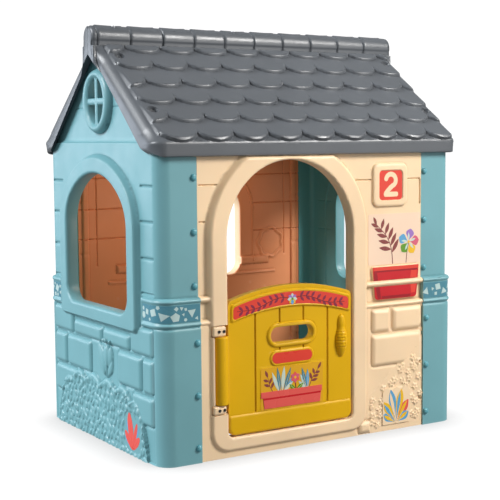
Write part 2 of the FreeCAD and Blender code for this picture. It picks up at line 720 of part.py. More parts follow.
def hinge_pin(label, foot, length):
    pin = doc.addObject("Part::Cylinder", label)
    pin.Label = label
    bind(pin, "Radius", D.pin_radius)
    bind(pin, "Height", length)
    place = (D.hinge_place, -D.hinge_depth, foot)
    pin.Placement = Placement(Vector(*(p.number for p in place)), Rotation())
    for axis, length in zip("xyz", place):
        pin.setExpression(f"Placement.Base.{axis}", length.formula)
    return pin


# ---------------------------------------------------------------- fasteners

def screw(head_radius, head_height, shank_radius, shank_length):
    """A domed screw that stands on the origin: its shank goes down, its head up."""
    rise = head_height * 0.65
    ball_radius = (head_radius ** 2 + rise ** 2) / (2 * rise)
    ball = Part.makeSphere(ball_radius, Vector(0, 0, head_height - ball_radius))
    head = Part.makeCylinder(head_radius, head_height).common(ball)
    shank = Part.makeCylinder(shank_radius, shank_length, Vector(0, 0, -shank_length))
    return head.fuse(shank).removeSplitter().Solids[0]


def screw_group(label, places):
    """Screws of one kind as separate solids: each place is (spot, head direction, sizes)."""
    solids = []
    for spot, way, sizes in places:
        solid = screw(*sizes)
        solid.Placement = Placement(Vector(*spot), Rotation(Vector(0, 0, 1), Vector(*way)))
        solids.append(solid)
    group = doc.addObject("Part::Feature", label)
    group.Label = label
    group.Shape = Part.makeCompound(solids)
    return group


def number(alias):
    """A driving dimension read back from the spreadsheet."""
    return float(sheet.get(alias))


SCREW_HEIGHTS = (800, 649, 499, 341, 192, 43)
ROOF_SCREW_PLACES = (103, 364)
BRACKET_SCREWS = (-13, 3)


def seam_screws(label, side, way):
    """The six cap-headed screws of one corner seam."""
    face = number("wall_half_depth")
    places = []
    for height in SCREW_HEIGHTS:
        proud = number("wrap_front") if height < number("base_height") else 0
        sizes = (number("cap_head_radius"), number("cap_head_height"), number("shank_radius"),
                 proud + number("wall_thickness") + 3)
        spot = (side * number("screw_seam"), way * (face + proud), height)
        places.append((spot, (0, way, 0), sizes))
    return screw_group(label, places)


def roof_screws(label, way):
    """The four screws that hold one roof half down on the gable flanges."""
    apex = number("eave_top") + (number("eave_depth") - 6) * math.tan(PITCH)
    sizes = (number("roof_head_radius"), 2.5, number("shank_radius") - 0.5,
             number("roof_shank_length"))
    normal = Vector(0, way * math.sin(PITCH), math.cos(PITCH))
    places = []
    for side in (-1, 1):
        for along in ROOF_SCREW_PLACES:
            surface = Vector(side * (number("gable_half_width") - 33), way * along * math.cos(PITCH),
                             apex - along * math.sin(PITCH))
            places.append((surface - normal * number("roof_recess_depth"), normal, sizes))
    return screw_group(label, places)


def ridge_screws():
    """The screws that pin the ridge tongues of each roof half into the other."""
    places = []
    half = number("lap_spacing") / 2
    radius = number("cap_radius")
    across = number("lap_depth") / 2
    head = number("ridge_head_radius")
    level = number("ridge_height") - radius + math.sqrt(radius ** 2 - (across - head) ** 2)
    for way in (-1, 1):
        for step in (-1, 1):
            spot = (way * number("lap_place") + step * half, way * across, level)
            places.append((spot, (0, 0, 1), (head, 2, number("shank_radius"), 50)))
    return screw_group("ridge_screws", places)


def bracket_screws():
    face = number("notch_floor") + number("bracket_depth")
    places = []
    for foot, tall in (("upper_bracket", "bracket_height"), ("lower_bracket", "lower_bracket_height")):
        for x in BRACKET_SCREWS:
            spot = (number("hinge_place") + x, -face, number(foot) + number(tall) / 2)
            sizes = (number("small_head_radius"), number("small_head_height"),
                     number("small_shank_radius"), 42)
            places.append((spot, (0, -1, 0), sizes))
    return screw_group("hinge_bracket_screws", places)


# ---------------------------------------------------------------- labels

def label(name, plane, height, shapes):
    """A printed film label on a face, one solid for each outline."""
    body = new_body(name)
    raise_shapes(body, plane, height, shapes, D.label_thickness)
    return body


def band_label(name, side, way):
    """The mosaic label in the band's recess, round one corner of a gable wall."""
    body = new_body(name)
    outer = corner_strip(D.gable_half_width + D.wrap_side + D.label_thickness,
                         D.wall_half_depth + D.wrap_front - 2 + D.label_thickness,
                         D.label_thickness, 284, D.seam_place + 2)
    strip = outer[0] if way * side < 0 else outer[1]
    low = D.rim_low + D.rim_width + 1
    raise_shapes(body, "XY", low, [strip], D.rim_high - low - 1)
    if side < 0:
        body.Placement = Placement(Vector(), Rotation(Vector(0, 0, 1), 180))
    return body


def coral_label(name, turned):
    """The plant label on a gable's stone base."""
    body = new_body(name)
    outside = D.gable_half_width + D.base_side + D.brick_rise + 1
    raise_shapes(body, "YZ", outside, [mound(size(158), size(270), size(10), size(110), 3, 18)],
                 D.label_thickness)
    if turned:
        body.Placement = Placement(Vector(), Rotation(Vector(0, 0, 1), 180))
    return body


# ---------------------------------------------------------------- the house

def build():
    half_turn = Placement(Vector(), Rotation(Vector(0, 0, 1), 180))
    parts = [front_wall(), back_wall(), gable_wall("right_gable_wall")]
    twin = gable_wall("left_gable_wall")
    twin.Placement = half_turn
    parts.append(twin)
    parts.append(roof_half("front_roof_panel"))
    rear = roof_half("rear_roof_panel")
    rear.Placement = half_turn
    parts.append(rear)
    parts.append(door_panel())
    parts.append(hinge_bracket("upper_hinge_bracket", D.upper_bracket, D.bracket_height, False))
    parts.append(hinge_bracket("lower_hinge_bracket", D.lower_bracket, D.lower_bracket_height, True))
    parts.append(hinge_pin("upper_hinge_pin", D.upper_bracket + 9 - D.pin_length, D.pin_length))
    parts.append(hinge_pin("lower_hinge_pin", D.lower_bracket + D.lower_bracket_height - 9,
                           D.pin_length))
    parts.append(bracket_screws())
    for end, way in (("front", -1), ("back", 1)):
        for hand, side in (("left", -1), ("right", 1)):
            parts.append(seam_screws(f"{end}_{hand}_seam_screws", side, way))
            parts.append(band_label(f"{end}_{hand}_band_label", side, way))
    parts.append(roof_screws("front_roof_screws", -1))
    parts.append(roof_screws("rear_roof_screws", 1))
    parts.append(ridge_screws())
    parts.append(coral_label("left_plant_label", True))
    parts.append(coral_label("right_plant_label", False))
    face = D.wall_half_depth
    parts.append(label("house_number_label", "XZ", face + 4, [oblong(233, 715, 321, 805, 11)]))
    parts.append(label("sprig_label", "XZ", face, [oblong(194, 516, 397, 674, 6)]))
    parts.append(label("flower_pot_upper_label", "XZ", face + 7, [pot(470, 511)]))
    parts.append(label("flower_pot_lower_label", "XZ", face + 7, [pot(411, 451)]))
    parts.append(label("leaf_fan_label", "XZ", face + D.base_front - 2 + D.brick_rise,
                       [mound(size(240), size(350), size(18), size(120), 3, 16)]))
    leaf = D.leaf_front
    parts.append(label("vine_label", "XZ", leaf + D.relief, [vine_band(6)]))
    parts.append(label("planter_label", "XZ", leaf + 1, [oblong(-204, 122, 16, 245, 3)]))
    parts.append(label("plaque_label", "XZ", leaf + D.relief,
                       [stadium(D.door_middle + 1, size(271), size(70), size(16))]))
    return parts


def write(parts):
    """Checks every object, then writes one STEP file for each part."""
    doc.recompute()
    for thing in doc.Objects:
        if "Invalid" in thing.State or "Error" in thing.State:
            raise RuntimeError(f"{thing.Label} failed: {thing.State}")
    for part in parts:
        if part.Shape.isNull() or not part.Shape.isValid():
            raise RuntimeError(f"{part.Label} has no valid shape")
    os.makedirs("parts", exist_ok=True)
    for part in parts:
        part.Shape.exportStep(f"parts/{part.Label}.step")
        print(f"{part.Label}: {len(part.Shape.Solids)} solid(s), {part.Shape.Volume / 1000:.0f} cm3")


write(build())
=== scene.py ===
"""The finished looks of the plastic playhouse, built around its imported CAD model.

Places are in millimetres until a mesh is made: X along the front, -Y out of the front, Z up. Each
moulding is a closed shell over a fine grid: a relief outside, another inside, and holes between.
"""
import math

import bpy
import numpy as np
from mathutils import Matrix, Vector


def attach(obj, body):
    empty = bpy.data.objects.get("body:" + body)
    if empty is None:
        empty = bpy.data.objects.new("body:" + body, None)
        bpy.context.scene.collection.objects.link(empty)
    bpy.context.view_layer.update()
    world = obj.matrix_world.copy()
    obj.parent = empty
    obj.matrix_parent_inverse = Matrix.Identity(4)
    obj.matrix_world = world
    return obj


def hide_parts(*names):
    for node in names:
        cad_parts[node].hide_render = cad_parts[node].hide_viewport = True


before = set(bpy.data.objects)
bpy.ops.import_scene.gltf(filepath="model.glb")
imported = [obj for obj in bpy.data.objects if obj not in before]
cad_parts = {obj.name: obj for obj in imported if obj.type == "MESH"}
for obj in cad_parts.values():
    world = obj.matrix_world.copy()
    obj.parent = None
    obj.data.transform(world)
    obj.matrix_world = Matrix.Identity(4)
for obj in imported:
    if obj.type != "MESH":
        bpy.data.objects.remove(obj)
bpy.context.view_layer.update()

MM = 0.001
MOST_FACES = 190000
GRID = 3.0
random = np.random.default_rng(7)

# Main sizes, in millimetres, as in the CAD source.
GABLE_FACE, FRONT_FACE, LEAF_FACE = 521.5, 376.0, 387.0
WALL, CORNER_RADIUS, SEAM = 22.0, 40.0, 400.0
WALL_TOP, BASE_TOP = 878.0, 392.0
EAVE_DEPTH, EAVE_LOW, EAVE_TOP = 396.0, 857.0, 903.0
PITCH = math.radians(37.9)
RISE, LEAN, LIFT = math.tan(PITCH), math.cos(PITCH), math.sin(PITCH)
APEX = EAVE_TOP + (EAVE_DEPTH - 6) * RISE
SKIN = WALL / LEAN
CAP_RADIUS, RIDGE = 36.0, 1240.0
DOOR_MIDDLE, DOOR_HALF, DOOR_SILL, ARCH_SPRING = -95.0, 219.0, 58.0, 626.0
RIM_LOW, RIM_HIGH, RIM_WIDTH = 386.0, 452.0, 16.0
SCREW_HEIGHTS, SCREW_LINE = (800, 649, 499, 341, 192, 43), 411
LINES = (778, 676, 578)
LAP_DEPTH, POCKET_DEPTH = -12.6, -14
TRIM = 0.5
CORNERS = [(end, way, hand, side) for end, way in (("front", -1), ("back", 1))
           for hand, side in (("left", -1), ("right", 1))]


# ---------------- distances: negative is inside

def soft_max(a, b, radius):
    """The larger of two distances, with a round corner where they meet."""
    a, b = a + radius, b + radius
    return np.hypot(np.maximum(a, 0), np.maximum(b, 0)) + np.minimum(np.maximum(a, b), 0) - radius


def box(u, v, left, low, right, high, radius=0.0):
    across = np.abs(u - (left + right) / 2) - (right - left) / 2
    return soft_max(across, np.abs(v - (low + high) / 2) - (high - low) / 2, radius)


def round_arch(u, v, middle, half, sill, spring, foot):
    below = box(u, v, middle - half, sill, middle + half, spring + 4 * half, foot)
    return np.where(v > spring, np.hypot(u - middle, v - spring) - half, below)


def basket_arch(u, v, half, sill, spring, rise, shoulder, foot):
    reach = half - shoulder
    crown = (reach ** 2 + rise ** 2 - shoulder ** 2) / (2 * (rise - shoulder))
    depth = crown - rise
    side = np.hypot(np.abs(u) - reach, v - spring) - shoulder
    top = np.hypot(u, v - spring + depth) - crown
    above = np.where(np.abs(u) * depth < reach * (v - spring + depth), top, side)
    below = box(u, v, -half, sill, half, spring + 4 * half, foot)
    return np.where(v > spring, above, below)


def oval(u, v, middle, height, half_width, half_height):
    a, b = (u - middle) / half_width, (v - height) / half_height
    size = np.hypot(a, b) + 1e-9
    slope = np.hypot(a / half_width, b / half_height) / size + 1e-9
    return (size - 1) / slope


def stadium(u, v, middle, height, half_width, half_height):
    across = np.maximum(np.abs(u - middle) - half_width + half_height, 0)
    return np.hypot(across, v - height) - half_height


def within(shape, *sizes):
    """A distance as a function of u and v alone."""
    return lambda u, v: shape(u, v, *sizes)


def over(level):
    return lambda u, v: v - level


def uncut(u, v):
    """Inside everywhere, for a film that fills its whole grid."""
    return -np.ones_like(u)


RIM_STEPS = [over(level + width) for level in (RIM_LOW, RIM_HIGH) for width in (0, RIM_WIDTH)]


# ---------------- relief profiles

def smooth(q):
    return q * q * (3 - 2 * q)


def ramp(gap, soft):
    """1 inside a raised shape and 0 outside it: a steep side with a rounded top edge."""
    q = np.clip((GRID / 2 - gap) / (GRID + soft), 0, 1)
    return np.sqrt(1 - (1 - q) ** 2)


def swell(gap, soft):
    """1 inside a raised shape and 0 outside it, with a slope that is soft at its foot and its top."""
    return smooth(np.clip(-gap / soft, 0, 1))


def lift(h, gap, level, soft, side=ramp):
    """The relief with a plateau of the given level where gap is negative."""
    share = side(gap, soft)
    return np.where(share > 0, np.maximum(h, level * share), h)


def blend_down(h, gap, level, soft=2.0):
    """Sinks or lifts a surface to a level wherever gap is negative."""
    return h + (level - h) * smooth(np.clip((GRID / 2 - gap) / (GRID + soft), 0, 1))


def edge_drop(depth, radius):
    """How far a round edge falls at that depth inside the edge."""
    q = np.clip(1 - depth / radius, 0, 1)
    return radius * (1 - np.sqrt(1 - q ** 2))


def line(gap, width=3.2):
    """1 along the middle of a groove, fading to 0 at its edges."""
    return np.clip(1 - (gap / width) ** 2, 0, 1)


def scatter(left, low, right, high, spacing, jitter=0.3):
    """Seeds on a jittered triangular lattice: places and directions."""
    seeds = []
    for row, v in enumerate(np.arange(low, high, spacing * 0.87)):
        for u in np.arange(left + (row % 2) * spacing / 2, right, spacing):
            shift = random.uniform(-jitter, jitter, 2) * spacing
            seeds.append((u + shift[0], v + shift[1], random.uniform(0, 2 * np.pi)))
    return np.array(seeds)


def leaf_bumps(u, v, seeds, length, width, height):
    """Small pointed leaves with round backs."""
    out = np.zeros_like(u)
    for su, sv, way in seeds:
        mine = np.flatnonzero((np.abs(u - su) < length) & (np.abs(v - sv) < length))
        du, dv = u[mine] - su, v[mine] - sv
        along = du * math.cos(way) + dv * math.sin(way)
        across = -du * math.sin(way) + dv * math.cos(way)
        reach = np.clip(1 - (along / length) ** 2, 0, 1)
        side = np.clip(1 - (across / (width * reach + 1e-6)) ** 2, 0, 1)
        out[mine] = np.maximum(out[mine], height * np.sqrt(side) * reach ** 0.3)
    return out


def rosettes(u, v, seeds, radius, height):
    """Small five-petalled flowers with a dimple in the middle."""
    out = np.zeros_like(u)
    for su, sv, way in seeds:
        mine = np.flatnonzero((np.abs(u - su) < radius * 1.4) & (np.abs(v - sv) < radius * 1.4))
        du, dv = u[mine] - su, v[mine] - sv
        r, turn = np.hypot(du, dv), np.arctan2(dv, du)
        rim = radius * (0.82 + 0.22 * np.cos(5 * (turn + way)))
        petal = np.clip(1 - (r / rim) ** 4, 0, 1) - 0.75 * np.exp(-(r / (radius * 0.28)) ** 2)
        out[mine] = np.maximum(out[mine], height * petal)
    return out


# ---------------- shells

def ticks(low, high, extra=()):
    """Grid lines from low to high, with some moved so that fine grooves get lines of their own."""
    marks = list(np.linspace(low, high, max(2, int(round((high - low) / GRID)) + 1)))
    for place in extra:
        marks = [m for m in marks if abs(m - place) > 1.7 + GRID * 0.3 or m in (low, high)]
        marks += [place + shift for shift in (-3.4, -1.7, 0, 1.7, 3.4) if low < place + shift < high]
    return np.unique(np.round(marks, 3))


def settle(u, v, steps, edge):
    """Moves grid points onto lines that run beside the nearest step, so that no step is jagged."""
    gaps = np.array([step(u, v) for step in steps])
    nearest = np.abs(gaps).argmin(0)
    for index, step in enumerate(steps):
        mine = (nearest == index) & (np.abs(gaps[index]) < 2.4 * GRID)
        a, b, gap = u[mine], v[mine], gaps[index][mine]
        along = (step(a + 0.05, b) - step(a - 0.05, b)) / 0.1
        up = (step(a, b + 0.05) - step(a, b - 0.05)) / 0.1
        move = (np.floor(gap / GRID) + 0.5) * GRID - gap
        move = np.where(np.abs(along ** 2 + up ** 2 - 1) < 0.5, move, 0)
        u[mine] += move * along * ~edge[0][mine]
        v[mine] += move * up * ~edge[1][mine]


def trimmed_grid(us, vs, outside, steps, relief):
    """The points and triangles of a grid, trimmed exactly where outside(u, v) turns positive.

    Each cell is split along the diagonal whose ends differ less in height."""
    u, v = (a.ravel() for a in np.meshgrid(us, vs, indexing="ij"))
    if steps:
        settle(u, v, steps, ((u == us[0]) | (u == us[-1]), (v == vs[0]) | (v == vs[-1])))
    rows = len(vs)
    corner = (np.arange(len(us) - 1)[:, None] * rows + np.arange(rows - 1)).ravel()
    ring = (corner, corner + rows, corner + rows + 1, corner + 1)
    height = relief(u, v)
    swap = np.abs(height[ring[1]] - height[ring[3]]) < np.abs(height[ring[0]] - height[ring[2]]) - 1e-6
    ring = [np.where(swap, ring[(k + 1) % 4], ring[k]) for k in range(4)]
    tris = np.concatenate([np.stack([ring[0], ring[k], ring[k + 1]], 1) for k in (1, 2)])
    gap = outside(u, v)
    gap = np.where(np.abs(gap) < 1e-3, -1e-3, gap)
    inside = gap[tris] < 0
    count = inside.sum(1)
    mixed = np.flatnonzero((count == 1) | (count == 2))
    lone = count[mixed] == 1
    odd = np.where(lone, inside[mixed].argmax(1), (~inside[mixed]).argmax(1))
    a, b, c = (tris[mixed, (odd + k) % 3] for k in range(3))
    pairs = np.sort(np.concatenate([np.stack([a, b], 1), np.stack([a, c], 1)]), axis=1)
    cuts, which = np.unique(pairs, axis=0, return_inverse=True)
    ab, ac = len(gap) + which.ravel().reshape(2, -1)
    start, end = cuts.T
    share = gap[start] / (gap[start] - gap[end])
    u, v = (np.concatenate([w, w[start] + share * (w[end] - w[start])]) for w in (u, v))
    tips = np.stack([a, ab, ac], 1)[lone]
    stumps = [np.stack(corners, 1)[~lone] for corners in ((ab, b, c), (ab, c, ac))]
    used, faces = np.unique(np.concatenate([tris[count == 3], tips, *stumps]), return_inverse=True)
    return u[used], v[used], faces.reshape(-1, 3)


def open_edges(faces):
    """The edges that only one triangle uses, in that triangle's direction."""
    ways = np.concatenate([faces[:, [0, 1]], faces[:, [1, 2]], faces[:, [2, 0]]])
    where, count = np.unique(np.sort(ways, axis=1), axis=0, return_inverse=True, return_counts=True)[1:]
    return ways[count[where.ravel()] == 1]


def shell(us, vs, outside, relief, inner, place, steps=(), under=None):
    """A closed shell: points, triangles, and 1 for each triangle of its inside.

    relief and inner are heights off the base surface."""
    u, v, faces = trimmed_grid(us, vs, outside, steps, relief)
    front = place(u, v, relief(u, v))
    back = under(u, v) if under else place(u, v, inner(u, v))
    start, end = open_edges(faces).T
    shift = len(u)
    sides = np.concatenate([np.stack([end, start, start + shift], 1),
                            np.stack([end, start + shift, end + shift], 1)])
    points = np.concatenate([np.stack(front, 1), np.stack(back, 1)])
    numbers = [0] * len(faces) + [1] * len(faces) + [0] * len(sides)
    return points, np.concatenate([faces, faces[:, ::-1] + shift, sides]), numbers


def same(points):
    return points


def turned(points):
    """Half a turn about the vertical."""
    return points * np.array([-1.0, -1.0, 1.0])


def thin(made):
    """Merges the triangles of flat areas until the piece has no more than MOST_FACES of them."""
    tool = made.modifiers.new("thin", "DECIMATE")
    tool.ratio = MOST_FACES / len(made.data.polygons)
    full = made.data
    made.data = bpy.data.meshes.new_from_object(made.evaluated_get(bpy.context.evaluated_depsgraph_get()))
    made.modifiers.clear()
    bpy.data.meshes.remove(full)


def linked(name, data):
    made = bpy.data.objects.new(name, data)
    bpy.context.scene.collection.objects.link(made)
    return made


def piece(name, parts, materials, replaced, body="house", angle=38):
    """One visible piece from (points, faces, material number) parts, in place of a CAD node."""
    points, faces, numbers, start = [], [], [], 0
    for part_points, part_faces, number in parts:
        points.append(np.asarray(part_points, float))
        faces += [[int(index) + start for index in face] for face in part_faces]
        numbers += list(number) if isinstance(number, list) else [number] * len(part_faces)
        start += len(part_points)
    mesh = bpy.data.meshes.new(name)
    mesh.from_pydata((np.concatenate(points) * MM).tolist(), [], faces)
    for material in materials:
        mesh.materials.append(material)
    mesh.polygons.foreach_set("material_index", numbers)
    made = linked(name, mesh)
    if len(faces) > MOST_FACES:
        thin(made)
    made.data.shade_smooth()
    made.data.set_sharp_from_angle(angle=math.radians(angle))
    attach(made, body)
    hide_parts(replaced)


# ---------------- materials

def srgb(colour):
    """The red, green and blue that Blender takes, from shares of 255."""
    shares = [c / 255 for c in colour]
    return [c / 12.92 if c <= 0.04045 else ((c + 0.055) / 1.055) ** 2.4 for c in shares]


def node(tree, kind, inputs=(), **settings):
    made = tree.nodes.new(kind)
    for name, value in settings.items():
        setattr(made, name, value)
    for name, value in dict(inputs).items():
        if isinstance(value, bpy.types.NodeSocket):
            tree.links.new(value, made.inputs[name])
        else:
            made.inputs[name].default_value = value
    return made


def blank(name):
    material = bpy.data.materials.new(name)
    material.use_nodes = True
    return material


def sockets(material):
    return material.node_tree.nodes["Principled BSDF"].inputs


def noise(tree, place, scale, detail=2.0):
    return node(tree, "ShaderNodeTexNoise",
                {"Vector": place, "Scale": scale, "Detail": detail}).outputs["Fac"]


def mapped(tree, value, start, end, low, high):
    return node(tree, "ShaderNodeMapRange", {"Value": value, "From Min": start, "From Max": end,
                                             "To Min": low, "To Max": high}).outputs["Result"]


def mix(tree, factor, first, second):
    return node(tree, "ShaderNodeMix", {"Factor": factor, 6: first, 7: second},
                data_type="RGBA").outputs[2]


def plastic(name, rgb, rough=0.42, grain=0.12, tint=0.05, bleed=0.0, edge_highlight=0.10, hollow_shade=0.7, gloss=0.5,
            metal=0.0):
    """Moulded plastic: fine grain, uneven colour and gloss, a painted highlight on convex edges and painted
    shade in hollows.
    """
    material = blank(name)
    tree, shader = material.node_tree, sockets(material)
    colour = np.array(srgb(rgb))
    # The last two colours are the painted highlight for convex edges and the painted shade for hollows.
    shades = (colour * (1 - tint), np.minimum(1, colour * (1 + tint)), colour + (1 - colour) * 0.55,
              colour ** 1.6 * 0.45)
    dark, light, highlight_colour, deep = ((*shade, 1.0) for shade in shades)
    place = node(tree, "ShaderNodeTexCoord").outputs["Object"]
    point = node(tree, "ShaderNodeNewGeometry").outputs["Pointiness"]
    # The middle of a noise, from 0.3 to 0.7, covers the whole range of what it drives.
    body = mix(tree, mapped(tree, noise(tree, place, 5.0, 3.0), 0.3, 0.7, 0.0, 1.0), dark, light)
    # Pointiness paints a highlight on convex edges.
    body = mix(tree, mapped(tree, point, 0.52, 0.62, 0.0, edge_highlight), body, highlight_colour)
    # Pointiness paints shade into hollows and creases, in the deep colour.
    body = mix(tree, mapped(tree, point, 0.49, 0.42, 0.0, hollow_shade), body, deep)
    tree.links.new(body, shader["Base Color"])
    uneven = mapped(tree, noise(tree, place, 14.0), 0.3, 0.7, rough - 0.05, rough + 0.06)
    tree.links.new(uneven, shader["Roughness"])
    pebble, wave = noise(tree, place, 420.0, 3.0), noise(tree, place, 9.0, 1.0)
    mixed = node(tree, "ShaderNodeMath", {0: pebble, 1: wave}, operation="ADD").outputs[0]
    bump = node(tree, "ShaderNodeBump", {"Height": mixed, "Strength": grain, "Distance": 0.001})
    tree.links.new(bump.outputs["Normal"], shader["Normal"])
    shader["Specular IOR Level"].default_value = gloss
    shader["Metallic"].default_value = metal
    if bleed:
        shader["Subsurface Weight"].default_value = bleed
        shader["Subsurface Radius"].default_value = (0.02, 0.009, 0.004)
        shader["Subsurface Scale"].default_value = 0.3
    return material


def film(name, rgb, rough=0.3, tint=0.04):
    """Printed glossy film, with the print's slight mottle."""
    material = plastic(f"{name}_print", rgb, rough, 0.04, tint, edge_highlight=0.0, hollow_shade=0.0, gloss=0.25)
    sockets(material)["Coat Weight"].default_value = 0.15
    sockets(material)["Coat Roughness"].default_value = 0.12
    return material


BLUE = plastic("blue_plastic", (113, 166, 174), rough=0.40)
CREAM = plastic("cream_plastic", (245, 214, 174), bleed=0.04)
SLATE = plastic("slate_plastic", (88, 92, 97), rough=0.34, grain=0.16, tint=0.06, edge_highlight=0.03, hollow_shade=0.3)
MUSTARD = plastic("mustard_plastic", (222, 172, 6), rough=0.38, gloss=0.22)
# Copies of the cream, blue and slate for the inner faces, coloured as the inside looks in its light. The
# cream's copy is darker and more orange: painted shade and a painted glow of light through the plastic.
CREAM_SHADED_INSIDE = plastic("cream_inside_painted_shade", (232, 152, 104), rough=0.45, gloss=0.3)
# The blue's copy is a little greener: painted light of the shaded inside.
BLUE_TINTED_INSIDE = plastic("blue_inside_painted_light", (100, 172, 176), rough=0.45, gloss=0.3)
# The slate's copy is darker: painted shade under the roof.
SLATE_SHADED_INSIDE = plastic("slate_inside_painted_shade", (62, 60, 66), rough=0.5, gloss=0.3)
CAP_BLUE = plastic("blue_cap_plastic", (92, 160, 172), rough=0.28)
STEEL = plastic("zinc_steel", (190, 192, 195), rough=0.32, grain=0.1, tint=0.08, edge_highlight=0.0, hollow_shade=0.5,
                metal=1.0)
DARK_STEEL = plastic("dark_steel", (46, 44, 44), rough=0.4, grain=0.05, edge_highlight=0.0)
GREY_STEEL = plastic("grey_steel", (84, 86, 90), rough=0.35, grain=0.05, edge_highlight=0.0)

RED = film("red", (222, 66, 50))
POT_RED = film("pot_red", (196, 24, 34))
POT_DARK = film("pot_dark", (150, 16, 28))
PINK_PAPER = film("pale_pink", (241, 211, 185), rough=0.34)
WINE = film("wine", (120, 48, 52))
ROSEWOOD = film("rosewood", (136, 66, 62))
PLUM = film("plum", (132, 44, 66))
PALE = film("pale", (196, 216, 206))
TEAL = film("teal", (72, 132, 150))
BAND_BLUE = film("band_blue", (78, 134, 150))
BASE_BLUE = film("blue", (113, 166, 174))
MOSAIC = film("mosaic", (184, 208, 206), tint=0.08)
YELLOW = film("yellow", (238, 188, 40))
SKY = film("sky", (96, 164, 206))
LILAC = film("lilac", (156, 116, 190))
ROSE = film("rose", (214, 96, 122))
LEAF_GREEN = film("green", (96, 150, 40))
CREAM_PRINT = film("cream", (245, 216, 178))
CORAL = film("coral", (228, 92, 84))
GOLD_PAPER = film("gold", (222, 166, 34))
TWIG = film("twig", (98, 34, 40))


# ---------------- small solids

def circle(centre, radius, start, finish, count):
    """Points along an arc between two angles in degrees."""
    return [(centre[0] + radius * math.cos(a), centre[1] + radius * math.sin(a))
            for a in np.radians(np.linspace(start, finish, count))]


def lathe(profile, segments=48):
    """A solid of revolution about Z from (radius, height) points that start and end on the axis."""
    turn = np.linspace(0, 2 * np.pi, segments, endpoint=False)
    points, rows = [], []
    for radius, height in profile:
        if radius < 1e-6:
            rows.append([len(points)] * segments)
            points.append((0, 0, height))
            continue
        rows.append(list(range(len(points), len(points) + segments)))
        points += [(radius * math.cos(t), radius * math.sin(t), height) for t in turn]
    faces = []
    for low, high in zip(rows, rows[1:]):
        for k in range(segments):
            ring = [low[k], low[(k + 1) % segments], high[(k + 1) % segments], high[k]]
            faces.append(list(dict.fromkeys(ring)))
    return np.array(points, float), faces


def moved(points, spot, way=(0, 0, 1)):
    """Points of a solid that stood on the origin, turned so that its Z points that way."""
    turn = np.array(Vector((0, 0, 1)).rotation_difference(Vector(way)).to_matrix())
    return np.asarray(points) @ turn.T + np.array(spot, float)


def block(left, front, low, right, back, high, radius, steps=3):
    """A block with round edges, from a cube whose points are pushed out from an inner box."""
    last = 2 * steps + 1
    half = np.array([right - left, back - front, high - low]) / 2
    middle = np.array([right + left, back + front, high + low]) / 2
    numbers, points, faces = {}, [], []

    def corner(key):
        if key not in numbers:
            numbers[key] = len(points)
            p = np.array([-1 + 2 * k / last for k in key])
            side = np.sign(p)
            round_way = (side * np.abs(np.tan(p * np.pi / 4)) - side / last) / (1 - 1 / last)
            way = np.where(np.abs(p) >= 1, side, round_way)
            points.append(middle + side * (half - radius) + radius * way / (np.linalg.norm(way) + 1e-9))
        return numbers[key]

    for axis in range(3):
        for side in (0, last):
            for i, j in np.ndindex(last, last):
                keys = [[i + di, j + dj] for di, dj in ((0, 0), (1, 0), (1, 1), (0, 1))]
                quad = [corner((*key[:axis], side, *key[axis:])) for key in keys]
                faces.append(quad[::-1] if (side == 0) != (axis == 1) else quad)
    return np.array(points), faces


# ---------------- flat art on the films

def slab(flat, faces, rim, place, low, high):
    """A thin closed solid: flat faces at two heights, joined along their rim."""
    levels = [np.stack(place(*flat.T, np.full(len(flat), float(level))), 1) for level in (high, low)]
    shift = len(flat)
    under = [[i + shift for i in face[::-1]] for face in faces]
    sides = [[b, a, a + shift, b + shift] for a, b in zip(rim, rim[1:] + rim[:1])]
    return np.concatenate(levels), faces + under + sides


def plate(outline, place, low, high, rings=3):
    """A thin closed plate over an outline that its own middle sees all of."""
    outline = np.asarray(outline, float)
    after = np.roll(outline, -1, axis=0)
    cross = outline[:, 0] * after[:, 1] - after[:, 0] * outline[:, 1]
    centre = ((outline + after) * cross[:, None]).sum(0) / (3 * cross.sum())
    if cross.sum() < 0:
        outline = outline[::-1]
    n = len(outline)
    flat = np.concatenate([centre[None]] + [centre + (outline - centre) * k / rings
                                            for k in range(1, rings + 1)])
    pairs = [(k, (k + 1) % n) for k in range(n)]
    faces = [[0, 1 + k, 1 + m] for k, m in pairs]
    faces += [[a + k, a + n + k, a + n + m, a + m]
              for a in range(1, 1 + (rings - 1) * n, n) for k, m in pairs]
    return slab(flat, faces, list(range(1 + (rings - 1) * n, 1 + rings * n)), place, low, high)


def ribbon(path, widths, place, low, high):
    """A thin closed strip that follows a path, as wide as widths says at each point."""
    path = np.asarray(path, float)
    widths = np.broadcast_to(np.asarray(widths, float), len(path))
    way = np.gradient(path, axis=0)
    way /= np.linalg.norm(way, axis=1)[:, None] + 1e-9
    side = np.stack([-way[:, 1], way[:, 0]], 1) * widths[:, None] / 2
    n = len(path)
    faces = [[k, k + 1, n + k + 1, n + k] for k in range(n - 1)]
    rim = list(range(n)) + list(range(2 * n - 1, n - 1, -1))
    return slab(np.concatenate([path - side, path + side]), faces, rim, place, low, high)


def polar(root, angle, reach):
    a = math.radians(angle)
    return (root[0] + reach * math.cos(a), root[1] + reach * math.sin(a))


def leaf_outline(root, angle, length, width, point=1.0, count=9, blunt=1.0):
    """A leaf from its root, at that angle in degrees: pointed, or round-ended if blunt is under 1."""
    t = (1 - np.cos(np.pi * np.linspace(0, 1, count))) / 2 if blunt < 1 else np.linspace(0, 1, count)
    half = width / 2 * np.clip(np.sin(np.pi * t ** point), 0, 1) ** blunt
    along, across = np.array(polar((0, 0), angle, 1)), np.array(polar((0, 0), angle + 90, 1))
    one, two = ([np.array(root) + along * length * k + side * across * w for k, w in zip(t, half)]
                for side in (-1, 1))
    return np.array(one + two[-2:0:-1])


